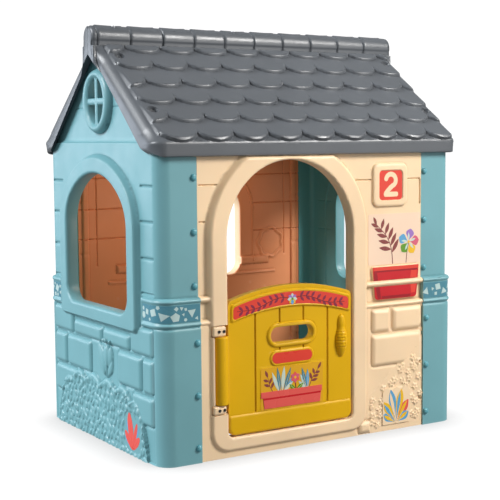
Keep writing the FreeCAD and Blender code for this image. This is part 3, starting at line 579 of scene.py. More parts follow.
def bent(start, finish, bow, count=14):
    """A curved path between two points that bows to its left."""
    start, finish = np.array(start, float), np.array(finish, float)
    t = np.linspace(0, 1, count)[:, None]
    run = finish - start
    return start + run * t + np.array([-run[1], run[0]]) * bow * np.sin(np.pi * t)


def outline_box(left, low, right, high, radius):
    corners = ((right - radius, low + radius, -90), (right - radius, high - radius, 0),
               (left + radius, high - radius, 90), (left + radius, low + radius, 180))
    return [spot for x, z, start in corners for spot in circle((x, z), radius, start, start + 90, 5)]


def front_place(face):
    return lambda u, v, h: (u, -(face + h), v)


class Art:
    """Collects the plates of one label: its film, then shapes in layers above it."""

    def __init__(self, place, thickness=0.8):
        self.place, self.top = place, thickness
        self.parts, self.materials = [], []

    def add(self, made, material):
        if material not in self.materials:
            self.materials.append(material)
        self.parts.append((*made[:2], self.materials.index(material)))

    def span(self, layer):
        """From inside the film to a height that never repeats, so that no two shapes share a plane."""
        return self.place, self.top - 0.3, self.top + 0.12 * layer + 0.015 * len(self.parts)

    def base(self, outline, material):
        self.add(plate(outline, self.place, 0, self.top), material)

    def shape(self, outline, material, layer=1, rings=1):
        self.add(plate(outline, *self.span(layer), rings), material)

    def dot(self, centre, radius, material, layer, count=12):
        self.shape(circle(centre, radius, 0, 360 - 360 / count, count), material, layer)

    def stroke(self, path, widths, material, layer=1):
        self.add(ribbon(path, widths, *self.span(layer)), material)

    def leaf(self, root, angle, length, width, material, layer=1, vein=None):
        self.shape(leaf_outline(root, angle, length, width), material, layer, rings=2)
        if vein:
            self.stroke([root, polar(root, angle, length * 0.8)], [1.2, 0.4], vein, layer + 1)

    def finish(self, name, body="house", slot=None, spin=same):
        """The label's piece, which stands for the CAD film of the same name."""
        parts = [(spin(points), faces, number) for points, faces, number in self.parts]
        piece(f"{name}_print", parts, self.materials, f"{name}_label", body, 30)


# ---------------- front wall

FRONT_BRICKS = ((200, 312, 270, 382), (280, 312, 393, 382), (200, 207, 393, 302), (150, 4, 196, 40))
POT_SLICES = ((410, 456), (468, 512))
PLAQUE, PLAQUE_WELL = (208, 695, 342, 827, 22), (232, 714, 322, 806, 12)
NOTCH = (-357, 150, -300, 354.5)
BRACKETS = {"upper_hinge_bracket": (352.5, 382.5), "lower_hinge_bracket": (130.0, 155.0)}
BRACKET_SEATS = [(-366, low - 0.8, -300, high + 0.8) for low, high in BRACKETS.values()]
# Each groove's height, left end and right end.
FRONT_GROOVES = ((778, -394, -336), (778, 133, 206), (778, 346, 394), (676, -394, -372))


def doorway(u, v):
    return round_arch(u, v, DOOR_MIDDLE, DOOR_HALF, DOOR_SILL, ARCH_SPRING, 18)


def door_frame(u, v):
    return np.maximum(round_arch(u, v, DOOR_MIDDLE, DOOR_HALF + 66, 8, ARCH_SPRING, 70), v - 866)


def pot_slice(u, v, low, high):
    half = 91 - 0.09 * (512 - v)
    return np.maximum(np.abs(u - 296) - half, np.maximum(low - v, v - high))


def straight_relief(u, v):
    """What the front and back walls share: the stone base and the band's two rims."""
    h = 10 * ramp(v - RIM_LOW - 2, 3)
    for low in (RIM_LOW, RIM_HIGH):
        h = lift(h, box(u, v, -500, low, 500, low + RIM_WIDTH), 14, 8)
    return h


def with_tongues(u, h):
    """A straight wall's relief, sunk at both ends where the gables' wraps lap over it."""
    return np.where(np.abs(u) > SEAM - TRIM, LAP_DEPTH, h)


FLOWER_SEEDS = scatter(196, 26, 386, 250, 29)
FLOWER_SEEDS = FLOWER_SEEDS[FLOWER_SEEDS[:, 1] < 96 + (FLOWER_SEEDS[:, 0] - 190) * 0.85]
FLOWER_SEEDS = FLOWER_SEEDS[box(FLOWER_SEEDS[:, 0], FLOWER_SEEDS[:, 1], 246, 20, 344, 128) > 4]


def front_relief(u, v):
    h = straight_relief(u, v)
    for brick in FRONT_BRICKS:
        h = h + 6.5 * ramp(box(u, v, *brick, 9), 11) - 2.5 * line(box(u, v, *brick, 9), 9)
    bank = np.where(u > 194, v - (100 + (u - 190) * 0.85), 400)
    soil = 10.6 + rosettes(u, v, FLOWER_SEEDS, 13, 3.8)
    h = np.where((bank < 12) & (u > 190), np.maximum(soil, np.where(bank < 0, 10.6, h)), h)
    h = blend_down(h, box(u, v, 240, 18, 350, 134, 20), 12.9, 6)
    for pot in POT_SLICES:
        h = lift(h, pot_slice(u, v, *pot), 7, 4)
    h = lift(h, box(u, v, *PLAQUE), 7.5, 7)
    h = blend_down(h, box(u, v, *PLAQUE_WELL), 3.9, 0.5)
    for height, left, right in FRONT_GROOVES:
        h = h - 4.5 * line(v - height) * ((u > left) & (u < right))
    h = h - 4 * line(u - 395, 3) * ((v < 778) & (v > 700))
    h = lift(h, door_frame(u, v), 19, 19, swell)
    h = h - edge_drop(doorway(u, v), 6)
    for pocket in (NOTCH, *BRACKET_SEATS):
        h = blend_down(h, box(u, v, *pocket), POCKET_DEPTH, TRIM)
    for height in (318, 203, 88):
        h = blend_down(h, box(u, v, 386, height - 5, 394, height + 5), 5, 0.5)
    return with_tongues(u, h)


def wall_inner(u, v, opening):
    """The inside of a wall: flat, with shallow lines and a round edge at its opening."""
    h = np.full_like(u, -WALL)
    for height in LINES:
        h = h + 3 * line(v - height, 3) * (np.abs(u) > 240)
    return h + edge_drop(opening(u, v), 3)


def straight_shell(opening, relief, inner, columns, rows, steps):
    """A straight wall with one opening, as it faces the front."""
    us = ticks(-435, 435, (TRIM - SEAM, SEAM - TRIM, *columns))
    return shell(us, ticks(0, WALL_TOP, rows), lambda u, v: -opening(u, v), relief, inner,
                 front_place(FRONT_FACE), [opening, *steps, *RIM_STEPS])


def front_wall():
    steps = [door_frame, *[within(box, *sizes) for sizes in (PLAQUE, PLAQUE_WELL, NOTCH)],
             *[within(pot_slice, *pot) for pot in POT_SLICES],
             *[within(box, *brick, 7) for brick in FRONT_BRICKS],
             *[within(box, *seat) for seat in BRACKET_SEATS]]
    made = straight_shell(doorway, front_relief, lambda u, v: wall_inner(u, v, doorway), [395],
                          LINES[:2], steps)
    piece("front_wall_moulding", [made], [CREAM, CREAM_SHADED_INSIDE], "front_wall")


# ---------------- back wall

BACK_BRICKS = [(max(x + 5, -393), 8 + 94 * c, min(x + 190, 393), 92 + 94 * c)
               for c in range(4) for x in [-390 + (k - (c % 2) / 2) * 195 for k in range(5)]
               if min(x + 190, 393) - max(x + 5, -393) > 40]


def back_window(u, v):
    return basket_arch(u, v, 186, 426, 650, 156, 120, 45)


def back_frame(u, v):
    return basket_arch(u, v, 234, 378, 650, 204, 168, 25)


def medallion(u, v):
    """A round lobed boss on the inside of the back wall."""
    r, turn = np.hypot(u + 311, v - 532), np.arctan2(v - 532, u + 311)
    rim = 50 + 3 * np.cos(7 * turn)
    return 5 * line(r - rim, 6) + 2.5 * np.clip(1 - (r / 40) ** 4, 0, 1)


def back_relief(u, v):
    h = straight_relief(u, v)
    for brick in BACK_BRICKS:
        h = h + 6.5 * ramp(box(u, v, *brick, 9), 11)
    for height in LINES:
        h = h - 4.5 * line(v - height) * (np.abs(u) > 234)
    h = lift(h, back_frame(u, v), 19, 19, swell)
    return with_tongues(u, h - edge_drop(back_window(u, v), 6))


def back_inner(u, v):
    """The back wall's inside carries a sill, panel lines, a medallion and a post at each end."""
    h = wall_inner(u, v, back_window)
    around = back_frame(u, v)
    h = h - 4 * ramp(-around, 3) * ramp(around - 4, 3) * (v > 470)
    h = h - 9 * ramp(box(u, v, -300, 460, 300, 485), 5) - 5 * ramp(box(u, v, -330, 424, 330, 432), 3)
    a = np.abs(u)
    h = h + 3 * line(a - 370, 3) * (v > 486)
    h = h - 7 * ramp(np.abs(a - 410) - 10, 3) + 2 * line(v % 170 - 20, 8) * (a > 400)
    return h - medallion(u, v)


def back_wall():
    steps = [back_frame, *[within(box, *brick, 7) for brick in BACK_BRICKS]]
    points, faces, inside = straight_shell(back_window, back_relief, back_inner, (-370, 370), LINES, steps)
    piece("back_wall_moulding", [(turned(points), faces, inside)], [CREAM, CREAM_SHADED_INSIDE],
          "back_wall")


# ---------------- gable walls

FLAT = FRONT_FACE - CORNER_RADIUS
BEND = CORNER_RADIUS * math.pi / 2
WRAP = GABLE_FACE - CORNER_RADIUS - SEAM
GABLE_END = FLAT + BEND + WRAP
GABLE_TOP = APEX - SKIN - 1
GABLE_BRICKS = ((205, 302, 340, 380), (20, 302, 195, 346), (-192, 302, 10, 346), (-340, 302, -202, 380),
                (278, 196, 340, 292), (118, 196, 268, 292), (-246, 196, -71, 292),
                (-340, 196, -256, 292), (212, 104, 340, 186), (-340, 104, -180, 186))
GABLE_LINES = (777, 678, 576, 478)
LAP_START = GABLE_END - 36
VENT = (0, 1018)
# Above this height the gable stands back by 7 mm.
SET_BACK = 897
# Each leaf or petal of the tulip: place, direction in degrees, length, width and height.
TULIP = ((10, 252, 112, 54, 25, 10), (66, 228, 58, 30, 14, 7), (40, 224, 98, 34, 5, 7),
         (40, 264, 104, 33, 20, 9), (64, 264, 76, 33, 20, 9), (52, 268, 90, 35, 17, 13),
         (28, 309, 128, 11, 6, 7), (50, 312, 90, 10, 6, 7), (72, 308, 52, 11, 6, 7))
BUSH_SEEDS = scatter(-298, 6, 304, 190, 24)
BUSH_SEEDS[:, 2] = -np.pi / 2 + (BUSH_SEEDS[:, 2] - np.pi) * 0.3


def gable_place(u, v, h):
    """The right-hand gable's surface: along its plan, up, and outwards."""
    a = np.abs(u)
    turn = np.clip((a - FLAT) / CORNER_RADIUS, 0, math.pi / 2)
    past = np.maximum(a - FLAT - BEND, 0)
    x = GABLE_FACE - CORNER_RADIUS + (CORNER_RADIUS + h) * np.cos(turn) - past
    y = np.minimum(a, FLAT) + (CORNER_RADIUS + h) * np.sin(turn)
    return x, np.sign(u) * y, v


def window(u, v):
    return basket_arch(u, v, 210, 408, 650, 156, 120, 50)


def window_frame(u, v):
    return basket_arch(u, v, 270, 354, 650, 216, 180, 25)


def vent_ring(u, v):
    return oval(u, v, *VENT, 91, 95)


def vent_hole(u, v):
    """Inside one of the vent's four openings, between its two bars."""
    return np.maximum(oval(u, v, *VENT, 55, 68), 9 - np.minimum(np.abs(u), np.abs(v - VENT[1])))


def gable_outside(u, v):
    a = np.abs(u)
    tip = np.maximum(a - 360, (v - GABLE_TOP + a * RISE) * LEAN)
    return np.maximum(np.minimum(tip, v - WALL_TOP), np.maximum(-window(u, v), -vent_hole(u, v)))


def corner_share(u):
    """0 on the gable's flat and 1 on the front or back of its wraps."""
    return smooth(np.clip((np.abs(u) - FLAT) / BEND, 0, 1))


def bush(u, v):
    hill = (1 - np.clip(np.abs(u + 4) / 312, 0, 1) ** 4.6) ** 0.55
    return v - (172 + 24 * np.abs(np.sin(np.pi * (u + 4) / 103))) * hill


def stone_base(u, v, share):
    """The courses of stones, the tulip in front of them, the bush and the label's pad."""
    h = (1.5 + 8.5 * share) * ramp(v - RIM_LOW - 2, 3)
    for brick in GABLE_BRICKS:
        h = h + 7 * ramp(box(u, v, *brick, 11), 12) - 2 * line(box(u, v, *brick, 11), 8)
    petals = [leaf_bumps(u, v, [(pu, pv, math.radians(way))], *sizes) for pu, pv, way, *sizes in TULIP]
    h = h + np.max(petals, axis=0)
    green = bush(u, v)
    leaves = 8 + 3 * line(green + 10, 12) + leaf_bumps(u, v, BUSH_SEEDS, 13, 7, 3.6)
    h = h + (np.maximum(h, leaves) - h) * ramp(green, 7)
    return blend_down(h, box(u, v, 160, 8, 268, 128, 30), 6.4, 5)


def vent_relief(u, v, h):
    """The relief with the vent's round rim and the two bars that cross its hole."""
    outer, hole = -vent_ring(u, v), oval(u, v, *VENT, 57, 70)
    depth = np.clip(1 - np.minimum(outer, hole + 5) / 17, 0, 1)
    h = np.where((outer > -2) & (hole > -3), np.maximum(h, -7 + 20 * np.sqrt(1 - depth ** 2)), h)
    middle = np.minimum(np.abs(u), np.abs(v - VENT[1]))
    bars = 1 + 5 * np.sqrt(np.clip(1 - (middle / 10) ** 2, 0, 1))
    return np.where(hole < 2, np.maximum(bars, h * (hole > -4)), h)


def gable_relief(u, v):
    a, share = np.abs(u), corner_share(u)
    h = stone_base(u, v, share)
    h = lift(h, np.maximum(345 - a, v - RIM_LOW), 5.5 + 9.5 * share, 5)
    h = lift(h, box(a, v, 280, RIM_LOW + 2, 900, RIM_HIGH + RIM_WIDTH - 2, 4), 5.5 + 7.5 * share, 2)
    for low in (RIM_LOW, RIM_HIGH):
        h = lift(h, box(a, v, 280, low, 900, low + RIM_WIDTH, 5), 10 + 7.5 * share, 8)
    h = lift(h, box(a, v, 280, RIM_LOW, 286, RIM_HIGH + RIM_WIDTH, 2), 10, 3)
    for height in GABLE_LINES:
        h = h - 4.5 * line(v - height, 4) * ((a > 268) & (a < 345))
    h = lift(h, window_frame(u, v), 20, 15, swell)
    h = h - edge_drop(window(u, v), 9)
    h = h - 7 * ramp(SET_BACK - v, 14) * (a < 400)
    h = h - 1.8 * line(v - 1000) * ((a < 175) & (a > 88))
    return vent_relief(u, v, h)


def gable_inner(u, v):
    a = np.abs(u)
    h = np.where(a > LAP_START, -12.0, -WALL)
    for height in GABLE_LINES[:3]:
        h = h + 1.8 * line(v - height, 3) * ((a > 240) & (a < 320))
    around = window_frame(u, v)
    h = h - 3 * ramp(-around, 3) * ramp(around - 5, 3)
    return h + edge_drop(window(u, v), 3)


def gable_flange():
    """The two sloping strips inside the gable's top that the roof screws bite."""
    parts = []
    for way in (-1, 1):
        points, faces = block(GABLE_FACE - WALL - 34, 0, -15, GABLE_FACE - WALL + 4, 430, 0, 3)
        y, z = points[:, 1].copy(), points[:, 2].copy()
        points[:, 1] = way * (y * LEAN + z * LIFT)
        points[:, 2] = GABLE_TOP - y * LIFT + z * LEAN
        parts.append((points, faces if way > 0 else [f[::-1] for f in faces], 1))
    return parts


def twins(names, nodes, parts, materials):
    """A moulding and its copy, turned half a turn about the house's middle."""
    for name, stands_for, spin in zip(names, nodes, (same, turned)):
        spun = [(spin(points), faces, number) for points, faces, number in parts]
        piece(name, spun, materials, stands_for)


def gable_walls():
    us = ticks(-GABLE_END, GABLE_END, (-345, 345, LAP_START, -LAP_START))
    vs = ticks(0, GABLE_TOP, (*GABLE_LINES, 1000))
    steps = [window, window_frame, vent_ring, vent_hole, *[within(box, *brick, 9) for brick in GABLE_BRICKS],
             *RIM_STEPS, lambda u, v: SET_BACK - v]
    wall = shell(us, vs, gable_outside, gable_relief, gable_inner, gable_place, steps)
    twins(("right_gable_moulding", "left_gable_moulding"), ("right_gable_wall", "left_gable_wall"),
          [wall, *gable_flange()], [BLUE, BLUE_TINTED_INSIDE])


# ---------------- roof halves

EAVE_BEND = 14.0
EAVE_TURN = math.pi / 2 - PITCH
EAVE_CORNER = APEX - EAVE_DEPTH * RISE
CUT_BACK = EAVE_BEND * math.tan(EAVE_TURN / 2)
T_FASCIA = EAVE_CORNER - EAVE_LOW - CUT_BACK
T_SLOPE = T_FASCIA + EAVE_BEND * EAVE_TURN
T_FOOT = T_SLOPE + (EAVE_DEPTH - CAP_RADIUS) / LEAN - CUT_BACK
T_ARC = T_FOOT + RIDGE - CAP_RADIUS - (APEX - CAP_RADIUS * RISE)
T_RIDGE = T_ARC + CAP_RADIUS * (math.pi / 2) - 0.5
ROOF_HALF, CAP_HALF, FIELD_HALF = 539.2, 549.0, 513.0
TILE, TILE_ROWS, SCALLOP = 116.4, (-6, 73, 157, 239, 324, 408), 44.0
CAP_PITCH, CAP_START = 107.6, 6.0
EAVE_ROUND = 40.0
SCREWS_ACROSS, SCREWS_ALONG = GABLE_FACE - 33, (103, 364)
SCREW_SPOTS = [(side * SCREWS_ACROSS, (EAVE_DEPTH - 6) / LEAN - along)
               for side in (-1, 1) for along in SCREWS_ALONG]


def corner_turn(u):
    """How far the eave turns back towards the house at its two ends."""
    past = np.clip(np.abs(u) - ROOF_HALF + EAVE_ROUND, 0, EAVE_ROUND)
    return EAVE_ROUND - np.sqrt(EAVE_ROUND ** 2 - past ** 2)


def roof_place(u, t, h):
    """The front roof half's surface: along the ridge, up its profile, and outwards."""
    bend = math.pi - np.clip((t - T_FASCIA) / EAVE_BEND, 0, EAVE_TURN)
    up = np.clip(t - T_SLOPE, 0, T_FOOT - T_SLOPE)
    y = -EAVE_DEPTH + EAVE_BEND + (EAVE_BEND + h) * np.cos(bend) + up * LEAN
    y = y + corner_turn(u) * np.clip(1 - up / 70, 0, 1)
    z = EAVE_LOW + np.where(t < T_FASCIA, t, T_FASCIA + (EAVE_BEND + h) * np.sin(bend) + up * LIFT)
    turn = math.pi - np.clip((t - T_ARC) / CAP_RADIUS, 0, math.pi / 2)
    cap_y = (CAP_RADIUS + h) * np.cos(turn)
    cap_z = RIDGE - CAP_RADIUS + np.minimum(t - T_ARC, 0) + (CAP_RADIUS + h) * np.sin(turn)
    cap = t > T_FOOT + 1e-6
    return u, np.where(cap, np.minimum(cap_y, -0.5), y), np.where(cap, cap_z, z)


def roof_under(u, t):
    """The roof's underside, with a deep verge at each end."""
    knots = (0, T_FASCIA + 6, T_SLOPE + 10, T_FOOT, T_RIDGE)
    y = np.interp(t, knots, (-380, -380, -372, -36, -0.5))
    low = np.interp(t, knots, (EAVE_LOW, *(APEX - SKIN - d * RISE for d in (380, 372, 36, 0.5))))
    verge_y = np.interp(t, knots, (-352, -350, -345, -36, -0.5))
    verge_z = np.interp(t, knots, (EAVE_LOW + 1, EAVE_LOW + 2, EAVE_LOW + 4, 1128, 1155))
    q = np.clip((np.abs(u) - 524) / 4, 0, 1)
    turn = corner_turn(u) * np.interp(t, knots, (1, 1, 0.9, 0, 0))
    return u, y + (verge_y - y) * q + turn, low + (verge_z - low) * q + 0.6 * turn


def tile_edge(u, row):
    """How far up the slope a row's scalloped lower edge lies."""
    phase = (u + 45 - (row % 2) * TILE / 2) / TILE
    f = np.abs(2 * (phase - np.floor(phase)) - 1)
    return TILE_ROWS[row] + SCALLOP * (1 - np.sqrt(np.clip(1 - 0.96 * f ** 2.3, 0, 1)))


def tile_step(u, t, row):
    slope = (tile_edge(u + 0.2, row) - tile_edge(u - 0.2, row)) / 0.4
    return (tile_edge(u, row) - (t - T_SLOPE)) / np.sqrt(1 + slope ** 2)


def screw_well(u, t, x, along):
    return np.hypot(u - x, t - T_SLOPE - along) - 15.5


def roof_relief(u, t):
    s, a = t - T_SLOPE, np.abs(u)
    h = np.zeros_like(u)
    for row, start in enumerate(TILE_ROWS):
        h = h + (14.5 - 13.5 * np.clip((s - start) / 118, 0, 1) - h) * ramp(tile_step(u, t, row), 7)
    h = h * ramp(a - FIELD_HALF, 9) * np.clip((T_FOOT - t) / 8, 0, 1)
    for spot in SCREW_SPOTS:
        h = blend_down(h, screw_well(u, t, *spot), -2.5, 1)
    q = np.clip(a - FIELD_HALF, 0, 27) / 27
    near_cap = np.clip((T_FOOT - t) / 70, 0, 1)
    from_bend = np.clip(np.maximum(s, T_FASCIA - t) / 70, 0, 1)
    verge = 40 * (0.35 * q + 0.65 * (1 - np.sqrt(1 - q * q))) * near_cap * (2 - near_cap)
    h = h - verge * (0.28 + 0.72 * from_bend * (2 - from_bend)) - edge_drop(t, 5)
    seam = (u - CAP_START) / CAP_PITCH % 1
    cap = 3.2 * (0.5 - seam) - 2 * line(np.minimum(seam, 1 - seam) * CAP_PITCH, 2.6)
    cap = cap - edge_drop(CAP_HALF - a, 10) - edge_drop(T_RIDGE - t, 2.5) - 2.5 * ramp(t - T_ARC + 9, 3)
    return np.where(t > T_FOOT + 1e-6, cap, h)


def roof_outside(u, t):
    reach = ROOF_HALF + (CAP_HALF - ROOF_HALF) * np.clip(1 - (T_FOOT - t) / 60, 0, 1)
    inwards, down = np.maximum(np.abs(u) - reach + EAVE_ROUND, 0), np.maximum(0.7 * EAVE_ROUND - t, 0)
    return np.hypot(inwards, down / 0.7) - EAVE_ROUND


def roof_halves():
    us = ticks(-CAP_HALF, CAP_HALF, [CAP_START + CAP_PITCH * k for k in range(-5, 5)])
    vs = np.unique(np.concatenate([ticks(0, T_RIDGE), [T_FOOT, T_FOOT + 0.5, T_FOOT - 1.5, T_SLOPE]]))
    steps = [*[within(tile_step, row) for row in range(len(TILE_ROWS))],
             *[within(screw_well, *spot) for spot in SCREW_SPOTS]]
    on_slope = [lambda u, t, step=step: np.where(t < T_FOOT - 8, step(u, t), 99) for step in steps]
    half = shell(us, vs, roof_outside, roof_relief, None, roof_place, on_slope, under=roof_under)
    twins(("front_roof_moulding", "rear_roof_moulding"), ("front_roof_panel", "rear_roof_panel"), [half],
          [SLATE, SLATE_SHADED_INSIDE])


# ---------------- door

LEFT_EDGE, FOOT_EDGE, RIGHT_EDGE, SHOULDER = -309.5, 62.0, 121.0, 447.0
LEAF_CROWN = 36.0
LEAF_MIDDLE = (LEFT_EDGE + RIGHT_EDGE) / 2
PLANKS = (-220, -136, -53, 34)
SLOT_MIDDLE, SLOT_HEIGHT, SIGN_HEIGHT = DOOR_MIDDLE + 1, 338, 271
SLOT, SLOT_RING = (SLOT_MIDDLE, SLOT_HEIGHT, 74, 23), (SLOT_MIDDLE, SLOT_HEIGHT, 86, 35)
SIGN, SIGN_RING = (SLOT_MIDDLE, SIGN_HEIGHT, 70.5, 16.5), (SLOT_MIDDLE, SIGN_HEIGHT, 76, 22)
BOTTOM_BAND, VINE_FOOT = 118, 387
BAND_LEFT, BAND_RIGHT, BAND_CROWN = LEFT_EDGE + 8, RIGHT_EDGE - 6, LEAF_CROWN - 4
GRIP, HINGE = (83.0, 385.0), (-333.0, 385.0)


def crown(u, v, left, right, shoulder, rise):
    """Above the shallow arc that joins two points at shoulder height."""
    half = (right - left) / 2
    radius = (half ** 2 + rise ** 2) / (2 * rise)
    return np.hypot(u - (left + right) / 2, v - shoulder - rise + radius) - radius


def leaf_outside(u, v):
    sides = box(u, v, LEFT_EDGE, FOOT_EDGE, RIGHT_EDGE, 900, 22)
    edge = soft_max(sides, crown(u, v, LEFT_EDGE, RIGHT_EDGE, SHOULDER, LEAF_CROWN), 12)
    return np.maximum(edge, -stadium(u, v, *SLOT))


def vine_band(u, v, inset):
    left, right = BAND_LEFT + inset, BAND_RIGHT - inset
    top = crown(u, v, left, right, SHOULDER - 10 - inset, BAND_CROWN)
    low = -crown(u, v, left, right, VINE_FOOT + inset, BAND_CROWN)
    return soft_max(soft_max(np.maximum(left - u, u - right), top, 9), low, 9)


def leaf_relief(u, v):
    edge = edge_drop(-leaf_outside(u, v), 5)
    ring, sign = stadium(u, v, *SLOT_RING), stadium(u, v, *SIGN_RING)
    h = lift(-edge, ring, 5.5, 6) - edge_drop(stadium(u, v, *SLOT), 5)
    h = np.maximum(h, 3.4 * ramp(v - BOTTOM_BAND, 4) - edge)
    h = np.maximum(h, 4.6 * ramp(vine_band(u, v, 0), 3) - edge)
    h = blend_down(h, vine_band(u, v, 6), 2.9, 0.5)
    h = np.maximum(h, 3.9 * ramp(sign, 3))
    h = blend_down(h, stadium(u, v, *SIGN), 2.9, 0.3)
    label = box(u, v, -207, 119, 19, 248, 4)
    h = np.maximum(h, 0.9 * ramp(label, 1))
    bare = (np.minimum(np.minimum(ring, label), sign) > 1) & (v > BOTTOM_BAND + 4)
    bare &= crown(u, v, BAND_LEFT, BAND_RIGHT, VINE_FOOT, BAND_CROWN) < 0
    for plank in PLANKS:
        h = h - 4.2 * line(u - plank, 3.4) * bare
    return h


def grip():
    """A moulded spindle with ring grooves and a thumb nub on top."""
    low, high = 250.0, 380.0
    body = [(20.5 * math.sin(math.pi * q) ** 0.55, low + 104 * q) for q in np.linspace(0, 0.82, 64)[1:]]
    body = [(r - 2.2 * max(0, math.cos(2 * math.pi * (z - 283) / 9)) ** 5 * (279 < z < 330), z)
            for r, z in body]
    nub = [(12.8 - 1.6 * q + 1.4 * math.sin(math.pi * q), 342 + 27 * q) for q in np.linspace(0, 1, 12)]
    tip = circle((0, high - 11), 11, 8, 90, 8)[:-1]
    points, faces = lathe([(0, low), *body, *nub, *tip, (0, high)])
    return points + np.array([GRIP[0], -GRIP[1], 0]), faces


def barrel():
    """The hinge barrel, round-edged, and the web that joins it to the leaf."""
    low, high, reach, soft = 156.0, 351.0, 16.0, 4.0
    points, faces = lathe([(0, low), (6.6, low), *circle((reach, low + soft), soft, -90, 0, 6),
                           *circle((reach, high - soft), soft, 0, 90, 6), (6.6, high), (0, high)])
    web = block(HINGE[0] + 8, -LEAF_FACE, low, LEFT_EDGE + 6, -366, high, 3)
    return [(points + np.array([HINGE[0], -HINGE[1], 0]), faces, 0), (*web, 0)]


def door():
    us = ticks(LEFT_EDGE - 1, RIGHT_EDGE + 1, PLANKS)
    vs = ticks(FOOT_EDGE - 1, SHOULDER + LEAF_CROWN + 1)
    steps = [leaf_outside, within(vine_band, 0), within(vine_band, 6),
             *[within(stadium, *sizes) for sizes in (SLOT_RING, SIGN_RING, SIGN)], over(BOTTOM_BAND)]
    leaf = shell(us, vs, leaf_outside, leaf_relief, lambda u, v: -26 + edge_drop(-leaf_outside(u, v), 3),
                 front_place(LEAF_FACE), steps)
    piece("door_moulding", [(*leaf[:2], 0), (*grip(), 0), *barrel()], [MUSTARD],
          "door_panel", "door")


# ---------------- hardware

def brackets():
    for name, (low, high) in BRACKETS.items():
        points, faces = block(-365, -398, low, -321.5, -362, high, 7)
        piece(f"{name}_moulding", [(points, faces, 0)], [CREAM], name)
    points, faces = lathe([(0, -1), (4.5, -1), (4.5, 1.4), (3.4, 2.4), (1.9, 1.6), (1.6, 0.2), (0, 0.2)], 24)
    screws = [(moved(points, (HINGE[0] + x, -398, (low + high) / 2), (0, -1, 0)), faces, 0)
              for low, high in BRACKETS.values() for x in (-13, 3)]
    piece("bracket_screw_heads", screws, [DARK_STEEL], "hinge_bracket_screws")


def seam_screws():
    """Blue caps over the screws of the four corner seams."""
    crown_arc = [(0.6 + 8.6 * x, 1.6 + 6.4 * z) for x, z in circle((0, 0), 1, 10, 82, 9)]
    points, faces = lathe([(0, -2), (10, -2), (10.4, 0), (10.2, 1.4), *crown_arc, (0, 8)], 32)
    for end, way, hand, side in CORNERS:
        caps = []
        for height in SCREW_HEIGHTS:
            proud = 15 if height < BASE_TOP else 0
            spot = (side * SCREW_LINE, way * (FRONT_FACE + proud), height)
            caps.append((moved(points, spot, (0, way, 0)), faces, 0))
        name = f"{end}_{hand}_seam_screws"
        piece(f"{name}_caps", caps, [CAP_BLUE], name)


def cross_head(radius, height):
    """A round screw head with a cross cut into it."""
    top = [(radius * k, height * (1 - 0.35 * k ** 4)) for k in (1.0, 0.95, 0.82, 0.65, 0.45, 0.25)]
    points, faces = lathe([(0, -1), (radius, -1), *top, (0, height * 0.4)])
    x, y = np.abs(points[:, :2].T)
    reach = np.hypot(x, y) / radius
    cut = (np.minimum(x, y) < radius * 0.15) & (reach > 0.1) & (reach < 0.7)
    points[cut, 2] = height * 0.35
    # Starting each quad one corner later turns its diagonal to run outwards.
    return points, [face[1:] + face[:1] for face in faces]


def roof_screws():
    points, faces = cross_head(9.5, 2.8)
    for name, way in (("front_roof_screws", -1), ("rear_roof_screws", 1)):
        normal = np.array([0, way * LIFT, LEAN])
        spots = [np.array([side * SCREWS_ACROSS, way * along * LEAN, APEX - along * LIFT])
                 for side in (-1, 1) for along in SCREWS_ALONG]
        heads = [(moved(points, spot - 3.5 * normal, normal), faces, 0) for spot in spots]
        piece(f"{name}_heads", heads, [GREY_STEEL], name)
    points, faces = cross_head(6.5, 2.2)
    z = RIDGE - CAP_RADIUS + math.sqrt(CAP_RADIUS ** 2 - 15 ** 2)
    heads = [(moved(points, (way * 266 + step * 206, way * 15, z), (0, way * 0.41, 0.91)), faces, 0)
             for way in (-1, 1) for step in (-1, 1)]
    piece("ridge_screw_heads", heads, [STEEL], "ridge_screws")


# ---------------- labels

def number_label():
    art = Art(front_place(FRONT_FACE + 4))
    art.base(outline_box(233, 715, 321, 805, 11), RED)
    path = circle((277, 775), 19, 165, -35, 14)
    path += [(292 - 36 * q, 763 - 29 * q + 3 * math.sin(math.pi * q)) for q in np.linspace(0.12, 1, 9)]
    art.stroke(path, 15, CREAM_PRINT)
    art.shape(outline_box(250, 725, 305, 740, 6), CREAM_PRINT, 2)
    art.dot(path[0], 7.5, CREAM_PRINT, 3, 24)
    art.dot((257, 733), 7.5, CREAM_PRINT, 4, 24)
    art.finish("house_number", slot="number_film")


def sprig_label():
    art = Art(front_place(FRONT_FACE))
    art.base(outline_box(194, 517, 397, 673, 5), PINK_PAPER)
    stem = bent((288, 518), (226, 640), -0.14)
    art.stroke(stem, np.linspace(3.4, 1.6, len(stem)), WINE)
    for k, q in enumerate(np.linspace(0.2, 0.92, 10)):
        spot = stem[int(round(q * (len(stem) - 1)))]
        side = 1 if k % 2 else -1
        art.leaf(spot, 116 + side * (62 - 22 * q), 55 - 24 * q, 15 - 4 * q, ROSEWOOD, 2)
    art.leaf(stem[-1], 116, 28, 10, ROSEWOOD, 2)
    art.stroke(bent((341, 518), (351, 580), 0.03), 2.2, WINE)
    middle = (351, 583)
    for angle, colour in ((78, LILAC), (6, ROSE), (-62, YELLOW), (-132, LEAF_GREEN), (158, SKY)):
        root = polar(middle, angle, 3)
        art.shape(leaf_outline(root, angle, 38, 31, 1.5, 13), colour, 2, 2)
        art.shape(leaf_outline(root, angle + 15, 26, 7, 1.2), PALE, 3, 2)
    art.dot(middle, 4, YELLOW, 4)
    art.finish("sprig")


def pot_outline(low, high, inset=0.0):
    foot, rim = (90 - 0.09 * (512 - z) - inset for z in (low, high))
    return [(296 - foot, low), (296 + foot, low), (296 + rim, high), (296 - rim, high)]


